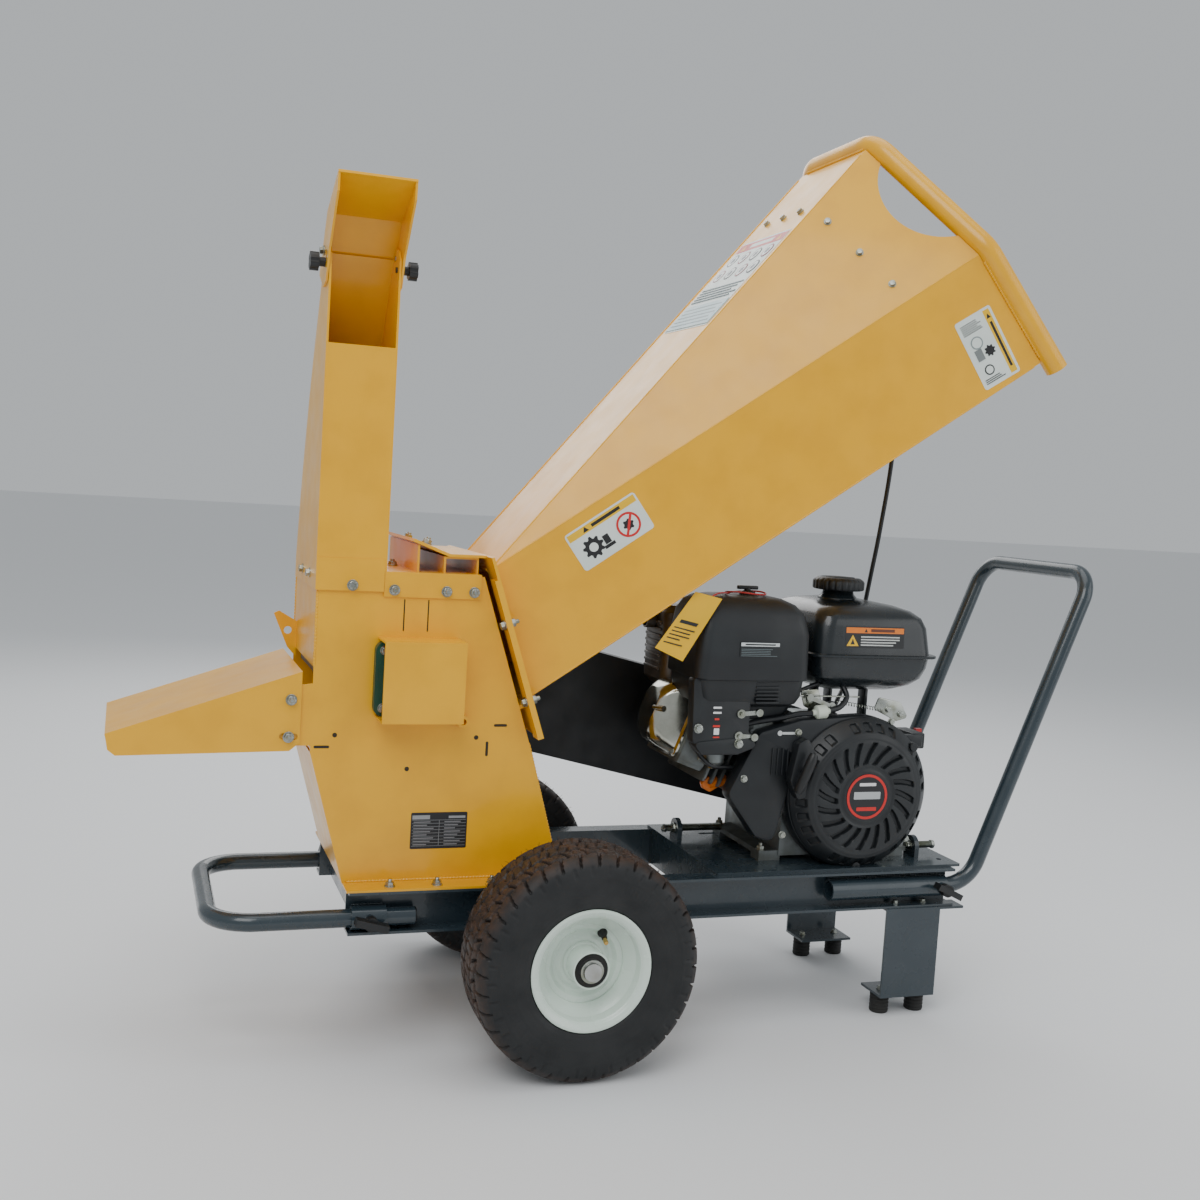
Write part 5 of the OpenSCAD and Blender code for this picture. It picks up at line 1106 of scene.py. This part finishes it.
def build_housing():
    """Weld beads, slits, slots and holes of the housing, and the bearing's grease cap."""
    b = Shape()
    for k in (-1, 1):
        b.bead((-316, k * 122, 248), (4, k * 122, 248), 2.4, lift=(0, k * 1.0, 0))
        b.bead((-374, k * 121, 560), (-374, k * 121, 668), 2.2)
    b.bead((-52, -119, 449), (6, -119, 250), 2.2)
    b.bead((-285, -122, 489), (-170, -122, 489), 2.2)
    b.make("housing_welds", "machine", "yellow_paint", "yellow_paint", angle=60)
    # painted shade: thin near-black marks stand for the shade inside the slits, slots and holes, which are
    # not cut
    slot_shade = Shape()
    ink = (0.02, 0.012, 0.002)
    for x in (-250, -215):
        slot_shade.prism(rounded_rect(x - 0.9, x + 0.9, 613, 659, 0.8, 2), -122.25, -121.6, on_y(0), ink=ink)
    for x, z in ((-341, 462), (-235, 412), (-134, 458)):
        slot_shade.prism(circle(3.4, 24) + (x, z), -122.25, -121.6, on_y(0), ink=ink)
    for x, z, w, h in ((-359, 445, 22, 4), (-98, 476, 20, 4), (-117, 441, 4, 22)):
        slot_shade.prism(rounded_rect(x - w / 2, x + w / 2, z - h / 2, z + h / 2, 1.8, 3),
                   -122.25, -121.6, on_y(0), ink=ink)
    slot_shade.make("housing_slot_painted_shade", "machine", "yellow_paint", "print")
    cap = Shape()
    cap.revolve(fillet([(0.2, 0), (26, 0), (24, 14), (17, 20), (0.2, 21)], 3, 3),
                (-236, -148, 545), (0, -1, 0), 48)
    cap.revolve(fillet([(0.2, 0), (5, 0), (5, 6), (3, 8), (3, 13), (0.2, 14)], 0.8, 2), (-262, -138, 572),
                (-0.5, -0.7, 0.5), 20)
    cap.make("bearing_cap", "machine", "green_casting", "green_casting")


def build_chassis():
    """Welds of the handle sleeves and brackets, plugs in the front handle's ends, and ribbed feet."""
    b, caps = Shape(), Shape()
    for k in (-1, 1):
        for x0, x1, z in ((-312, -262, 204), (454, 668, 214)):
            for dz in (-15, 15):
                b.bead((x0 + 2, k * 138.5, z + dz), (x1 - 2, k * 138.5, z + dz), 2.2)
        caps.revolve([(0.2, -5), (10.8, -5), (10.8, 0), (12.6, 0.4), (12, 2.2), (0.2, 2.6)],
                     (-220, k * 153, 204), (1, 0, 0), 28)
        b.bead((-17, k * 136, 181), (17, k * 136, 181), 2.2)
        b.bead((558, k * 166, 181), (655, k * 166, 181), 2.0)
    b.make("frame_welds", "machine", "frame_paint", "frame_paint", angle=60)
    caps.make("handle_plugs", "front_handle", "knob_plastic", "knob_plastic")
    feet = Shape()
    for k in (-1, 1):
        for x in (573, 639):
            prof = [(0.2, 0.1), (14, 0.1), (15, 1)]
            for i in range(5):
                prof += [(15.6, 3 + i * 6), (15.6, 5.5 + i * 6), (14.6, 6.2 + i * 6), (14.6, 8.2 + i * 6)]
            prof += [(15.8, 32.8), (0.2, 32.8)]
            feet.revolve(prof, (x, k * 138, 0), Z_AXIS, 40)
    feet.make("ribbed_feet", "machine", "foot_rubber", "foot_rubber", ("rubber_feet",))


def build_lead():
    """Lead of the emergency stop: one smooth line from the gland to the crankcase."""
    path = smooth_line([
        (660, 100, 946), (660, 100, 936), (661, 100, 922), (660, 100, 905), (658, 100, 880), (655, 100, 850),
        (652, 101, 820), (649, 102, 790), (646, 103, 762), (643, 106, 730), (641, 110, 700), (640, 115, 672),
        (639, 120, 645), (637, 123, 615), (634, 124, 585), (629, 124, 556), (621, 121, 531), (610, 115, 511),
        (598, 106, 496), (587, 97, 485), (579, 91, 474), (575, 88, 465), (575, 88, 456)], 4)
    piece = Shape().tube(path, 4, 16).make("stop_cable", "machine", "cable_rubber",
                                           "cable_rubber", ("stop_lead",))
    gland = Shape()
    gland.revolve(fillet([(4.2, 0), (9, 0), (9, 8), (6, 12), (4.2, 12)], 0.8, 2),
                  (660, 100, 946), (0, 0, -1), 24, True)
    gland.revolve(fillet([(4.2, 0), (8, 0), (7, 9), (4.2, 9)], 0.8, 2), (575, 88, 451), (0, 0, 1), 24, True)
    gland.make("stop_glands", "machine", "moulded_black", "knob_plastic")


# ---- labels ----
WHITE = (0.72, 0.78, 0.74)
BLACK = (0.015, 0.015, 0.017)
AMBER = (0.85, 0.50, 0.005)
RED = (0.62, 0.02, 0.02)


def sticker(shape, place, marks, w, h, base, r=3.0):
    """A rounded plate of w by h, and marks on it: each is (outline, colour) in the plate's own
    millimetres.
    """
    shape.prism(rounded_rect(0, w, 0, h, r, 4), 0.0, 0.35, place, ink=base)
    for i, (outline, ink) in enumerate(marks):
        shape.prism(np.asarray(outline, float), 0.3, 0.5 + 0.03 * i, place, ink=ink)


def bar(x, y, w, h):
    """Outline of a bar whose lowest corner is x, y."""
    return [(x, y), (x + w, y), (x + w, y + h), (x, y + h)]


def lines(x, y, w, n, gap=3.0, h=1.2, ink=BLACK, seed=1):
    """n bars under each other, of uneven length, that stand for lines of print."""
    rng = np.random.default_rng(seed)
    return [(bar(x, y - i * gap, w * rng.uniform(0.7, 1.0), h), ink) for i in range(n)]


def cog(x, y, r, teeth=9):
    """Outline of a toothed disc: the radius steps between r and 0.78 r."""
    t = np.arange(teeth * 4) * 2 * math.pi / (teeth * 4)
    q = np.where((np.arange(teeth * 4) % 4) < 2, r, 0.76 * r)
    return np.column_stack([x + q * np.cos(t), y + q * np.sin(t)])


def build_labels():
    """Plain pictogram stickers at the places of the machine's labels; all wording is left as bars."""
    s = Shape()
    place = in_plane(np.array((20.1, -124.7, 708.5)) + SIDE_N * 0.1, np.array((99.3, -20.3, 74.5)), SIDE_N)
    marks = [(bar(3, 49, 118, 11), AMBER), ([(28, 51), (38, 51), (33, 59)], BLACK),
             (bar(44, 52, 50, 5), BLACK),
             (cog(30, 25, 17), BLACK), (circle(7, 24) + (30, 25), WHITE), (bar(44, 12, 18, 5), BLACK),
             (bar(48, 18, 10, 14), BLACK),
             (circle(19, 40) + (92, 25), RED), (circle(15.5, 40) + (92, 25), WHITE),
             (cog(92, 25, 9, 6), BLACK),
             ([(80, 12), (83, 9.5), (105, 37), (102, 39.5)], RED)]
    sticker(s, place, marks, 124, 63, WHITE, 5)
    place = in_plane(np.array((613.0, -238.5, 1019.4)) + SIDE_N * 0.1,
                     np.array((52.7, -10.6, 36.0)), SIDE_N)
    marks = [(bar(49, 4, 11, 106), AMBER), ([(51, 96), (58, 96), (54.5, 104)], BLACK),
             (bar(52.5, 14, 4, 76), BLACK),
             *lines(6, 104, 36, 6, 3.0, 1.1, seed=2), (circle(10, 28) + (20, 72), (0.25, 0.3, 0.3)),
             (circle(8, 28) + (20, 72), WHITE),
             (cog(34, 52, 9, 8), BLACK), (bar(10, 44, 12, 18), (0.2, 0.22, 0.22)),
             (circle(8, 28) + (20, 26), BLACK), (circle(6, 28) + (20, 26), WHITE),
             *lines(6, 13, 36, 3, 3.0, 1.1, seed=3)]
    sticker(s, place, marks, 64, 114, WHITE, 4)
    roof_down = unit(np.array((-0.63919, 0, -0.76905)))
    origin = np.array((338.0, 88.0, 1256.0))
    origin += ROOF_N * ((TOP - origin) @ ROOF_N + 0.1)
    place = in_plane(origin, (0, -1, 0), ROOF_N)
    sign = -1 if np.cross(ROOF_N, (0, -1, 0)) @ roof_down > 0 else 1
    where = lambda a, b, h: place(a, -sign * b, h)
    marks = [(bar(2, 4, 172, 20), RED), ([(16, 20), (30, 20), (23, 7)], AMBER), (bar(48, 9, 84, 9), WHITE),
             ([(146, 20), (160, 20), (153, 7)], AMBER)]
    for i in range(4):
        for j in range(2):
            x, y = 24 + i * 43, 44 + j * 36
            marks += [(circle(14, 28) + (x, y), (0.25, 0.03, 0.04) if (i + j) % 2 else BLACK),
                      (circle(11.6, 28) + (x, y), WHITE), (cog(x, y, 7, 5 + i), (0.06, 0.07, 0.09))]
    for i in range(5):
        marks.append((bar(8, 112 + i * 7, 160 - 13 * (i % 3), 2.4), (0.1, 0.16, 0.18)))
    marks.append((bar(2, 152, 172, 54), (0.42, 0.56, 0.58)))
    marks += [(bar(12, 160 + i * 9, 150 - 10 * (i % 2), 3), (0.10, 0.18, 0.20)) for i in range(5)]
    sticker(s, where, marks, 176, 210, WHITE, 4)
    # rating plate on the housing, with a border, a heading and a table
    place = in_plane((-225, -122.1, 293), (1, 0, 0), (0, -1, 0))
    grey = (0.30, 0.31, 0.32)
    marks = [(bar(2, 44, 26, 6), grey), (bar(56, 45, 25, 3.5), grey)]
    marks += [(bar(2, 4 + i * 4.8, 80, 0.35), grey) for i in range(9)] + [(bar(42, 4, 0.4, 38), grey)]
    marks += [(bar(4, 5.6 + i * 4.8, 20 + 5 * (i % 3), 1.5), (0.2, 0.2, 0.21)) for i in range(8)]
    marks += [(bar(50, 5.6 + i * 4.8, 16 + 4 * ((i + 1) % 3), 1.5), (0.2, 0.2, 0.21)) for i in range(8)]
    sticker(s, place, marks, 84, 54, BLACK, 2)
    # tank: orange strip, triangle and lines; air-cleaner box: white strip and fine lines
    place = in_plane((468, -123.1, 603), (1, 0, 0), (0, -0.9979, 0.065))
    orange = (0.80, 0.20, 0.01)
    marks = [(bar(1, 24, 106, 9), orange), ([(34, 25.5), (40, 25.5), (37, 31.5)], BLACK),
             (bar(46, 26, 44, 5), (0.12, 0.03, 0.01)),
             ([(2, 3), (24, 3), (13, 21)], AMBER), ([(9, 5.5), (17, 5.5), (13, 15)], BLACK),
             *lines(28, 17, 76, 4, 4.4, 2.0, (0.6, 0.62, 0.6), 5)]
    sticker(s, place, marks, 108, 35, (0.012, 0.014, 0.016), 2)
    place = in_plane((271, -148.1, 588), (1, 0, 0), (0, -1, 0))
    marks = [(bar(1, 17, 66, 5.5), (0.62, 0.66, 0.66)), (bar(8, 18.6, 52, 2.2), BLACK),
             *lines(2, 12, 62, 5, 2.6, 0.7, (0.16, 0.20, 0.21), 6)]
    sticker(s, place, marks, 68, 24, (0.012, 0.015, 0.017), 1.5)
    s.make("labels", "machine", "white_rim", "print", flat=True)


# ---- scene ----
def dress_cad():
    """Gives each CAD node that still shows the finish of its own material slot."""
    frame = STATE["frame"]
    slots = {p["node"]: p["material_slot"] for p in frame["record"]["subparts"]}
    for name, obj in frame["nodes"].items():
        obj.data.materials.clear()
        obj.data.materials.append(finishes()[slots[name]])


def build_stage():
    """Pale floor, soft lights and the camera at the picture's view."""
    mesh = bpy.data.meshes.new("floor")
    s = 30.0
    mesh.from_pydata([(-s, -s, 0), (s, -s, 0), (s, s, 0), (-s, s, 0)], [], [(0, 1, 2, 3)])
    floor = bpy.data.objects.new("floor", mesh)
    mat = bpy.data.materials.new("floor_pale")
    mat.use_nodes = True
    mat.node_tree.nodes["Principled BSDF"].inputs["Base Color"].default_value = (0.80, 0.81, 0.82, 1)
    mat.node_tree.nodes["Principled BSDF"].inputs["Roughness"].default_value = 0.9
    mesh.materials.append(mat)
    bpy.context.scene.collection.objects.link(floor)
    look = bpy.context.scene.chipper_look
    for name, at, size, power in (("key", (-1.6, -2.4, 3.2), 2.2, 62), ("fill", (2.6, -2.2, 1.6), 2.6, 26),
                                  ("rim", (0.4, 2.8, 2.6), 2.4, 46), ("top", (0.2, 0.0, 3.6), 2.6, 34)):
        light = bpy.data.lights.new(name, "AREA")
        light.size, light.energy = size, power * look.light
        lamp = bpy.data.objects.new(name, light)
        lamp.location = at
        lamp.rotation_euler = (Vector((0, 0, 0.6)) - Vector(at)).to_track_quat("-Z", "Y").to_euler()
        bpy.context.scene.collection.objects.link(lamp)
    world = bpy.data.worlds.new("studio")
    world.use_nodes = True
    world.node_tree.nodes["Background"].inputs["Color"].default_value = (0.93, 0.97, 1.0, 1)
    world.node_tree.nodes["Background"].inputs["Strength"].default_value = 0.55
    bpy.context.scene.world = world
    turn, fall, roll = (math.radians(v) for v in (19.42, 4.68, 3.51))
    forward = np.array((math.sin(turn) * math.cos(fall), math.cos(turn) * math.cos(fall), -math.sin(fall)))
    right = unit(np.cross(forward, Z_AXIS))
    up = np.cross(right, forward)
    r2 = math.cos(roll) * right + math.sin(roll) * up
    u2 = -math.sin(roll) * right + math.cos(roll) * up
    lens = bpy.data.cameras.new("camera")
    lens.lens, lens.sensor_width = 40.99, 36.0
    camera = bpy.data.objects.new("camera", lens)
    m = Matrix.Identity(4)
    for i, col in enumerate((r2, u2, -forward, row((-634.9, -2053.0, 834.6)))):
        for j in range(3):
            m[j][i] = col[j]
    camera.matrix_world = m
    bpy.context.scene.collection.objects.link(camera)
    bpy.context.scene.camera = camera


class ChipperLook(bpy.types.PropertyGroup):
    tread_pitches: bpy.props.IntProperty(name="Tread pitches", description="Tread blocks round each tyre",
                                         default=36, min=24, max=60)
    tread_columns: bpy.props.IntProperty(name="Tread columns", description="Mesh columns round each tyre",
                                         default=576, min=120, max=900)
    tread_rows: bpy.props.IntProperty(name="Tread rows", description="Mesh rows across each tyre",
                                      default=130, min=60, max=200)
    tread_depth: bpy.props.FloatProperty(name="Tread depth",
                                         description="Depth of the tyre grooves in millimetres",
                                         default=5.5, min=2, max=8)
    hairs: bpy.props.IntProperty(name="Moulding hairs", description="Rubber hairs on each tyre",
                                 default=260, min=0, max=800)
    strips: bpy.props.IntProperty(name="Curtain strips", description="Strips the feed curtain is cut into",
                                  default=5, min=1, max=12)
    rope: bpy.props.FloatProperty(name="Starter rope", description="Diameter of the starter rope",
                                  default=0.005, subtype="DISTANCE", unit="LENGTH")
    peel: bpy.props.FloatProperty(name="Orange peel", description="Strength of the powder coat's waviness",
                                  default=0.16, min=0, max=1)
    light: bpy.props.FloatProperty(name="Light", description="Factor on the studio lights' power",
                                   default=1.0, min=0.1, max=4)


def operator(key, label, text, build):
    """An operator class that runs one build function."""
    def execute(self, context):
        build()
        return {"FINISHED"}
    return type("CHIPPER_OT_" + key, (bpy.types.Operator,),
                {"__doc__": text, "bl_idname": "chipper." + key, "bl_label": label,
                 "bl_options": {"REGISTER", "UNDO"}, "execute": execute})


STEPS = [
    ("finishes", "Dress CAD nodes", "Assign the procedural finishes to the CAD nodes", dress_cad),
    ("wheels", "Wheels", "Build the tyres with their tread, the rims, valves and axle ends", build_wheels),
    ("recoil", "Recoil starter", "Build the recoil cover, its disc, grip and rope", build_recoil),
    ("shroud", "Fan shroud", "Build the fan shroud and its screws", build_shroud),
    ("tank", "Fuel tank", "Build the fuel tank and its cap", build_tank),
    ("airbox", "Air cleaner", "Build the air-cleaner box, its tie and tag", build_airbox),
    ("cylinder", "Cylinder", "Build the valve cover, fins, bolts and spark lead", build_cylinder),
    ("carburettor", "Carburettor", "Build the carburettor, control cover, hoses and linkage",
     build_carburettor),
    ("muffler", "Muffler", "Build the muffler and its guard", build_muffler),
    ("hopper", "Hopper", "Build the mouth tube, its welds and the feed curtain", build_hopper),
    ("fasteners", "Fasteners", "Build every bolt and tensioner screw", build_fasteners),
    ("housing", "Housing", "Build the housing's welds, slots and bearing cap", build_housing),
    ("chassis", "Chassis", "Build the frame's welds, plugs and rubber feet", build_chassis),
    ("lead", "Stop lead", "Build the emergency stop's lead and glands", build_lead),
    ("labels", "Labels", "Build the plain labels", build_labels),
    ("stage", "Stage", "Build the floor, the lights and the camera", build_stage),
]
OPERATORS = [operator(*s) for s in STEPS]


class CHIPPER_PT_panel(bpy.types.Panel):
    """Settings and build steps of the wood chipper."""
    bl_label = "Wood chipper"
    bl_idname = "CHIPPER_PT_panel"
    bl_space_type = "VIEW_3D"
    bl_region_type = "UI"
    bl_category = "Chipper"

    def draw(self, context):
        look = context.scene.chipper_look
        for key in ("tread_pitches", "tread_columns", "tread_rows", "tread_depth", "hairs", "strips",
                    "rope", "peel", "light"):
            self.layout.prop(look, key)
        for key, label, _, _ in STEPS:
            self.layout.operator("chipper." + key, text=label)


CLASSES = [ChipperLook, *OPERATORS, CHIPPER_PT_panel]


def register():
    for cls in CLASSES:
        bpy.utils.register_class(cls)
    bpy.types.Scene.chipper_look = bpy.props.PointerProperty(type=ChipperLook)


def unregister():
    del bpy.types.Scene.chipper_look
    for cls in reversed(CLASSES):
        bpy.utils.unregister_class(cls)


def main():
    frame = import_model()
    STATE["frame"] = frame
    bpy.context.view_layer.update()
    register()
    for key, _, _, _ in STEPS:
        getattr(bpy.ops.chipper, key)()
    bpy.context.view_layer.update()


if __name__ == "__main__":
    main()
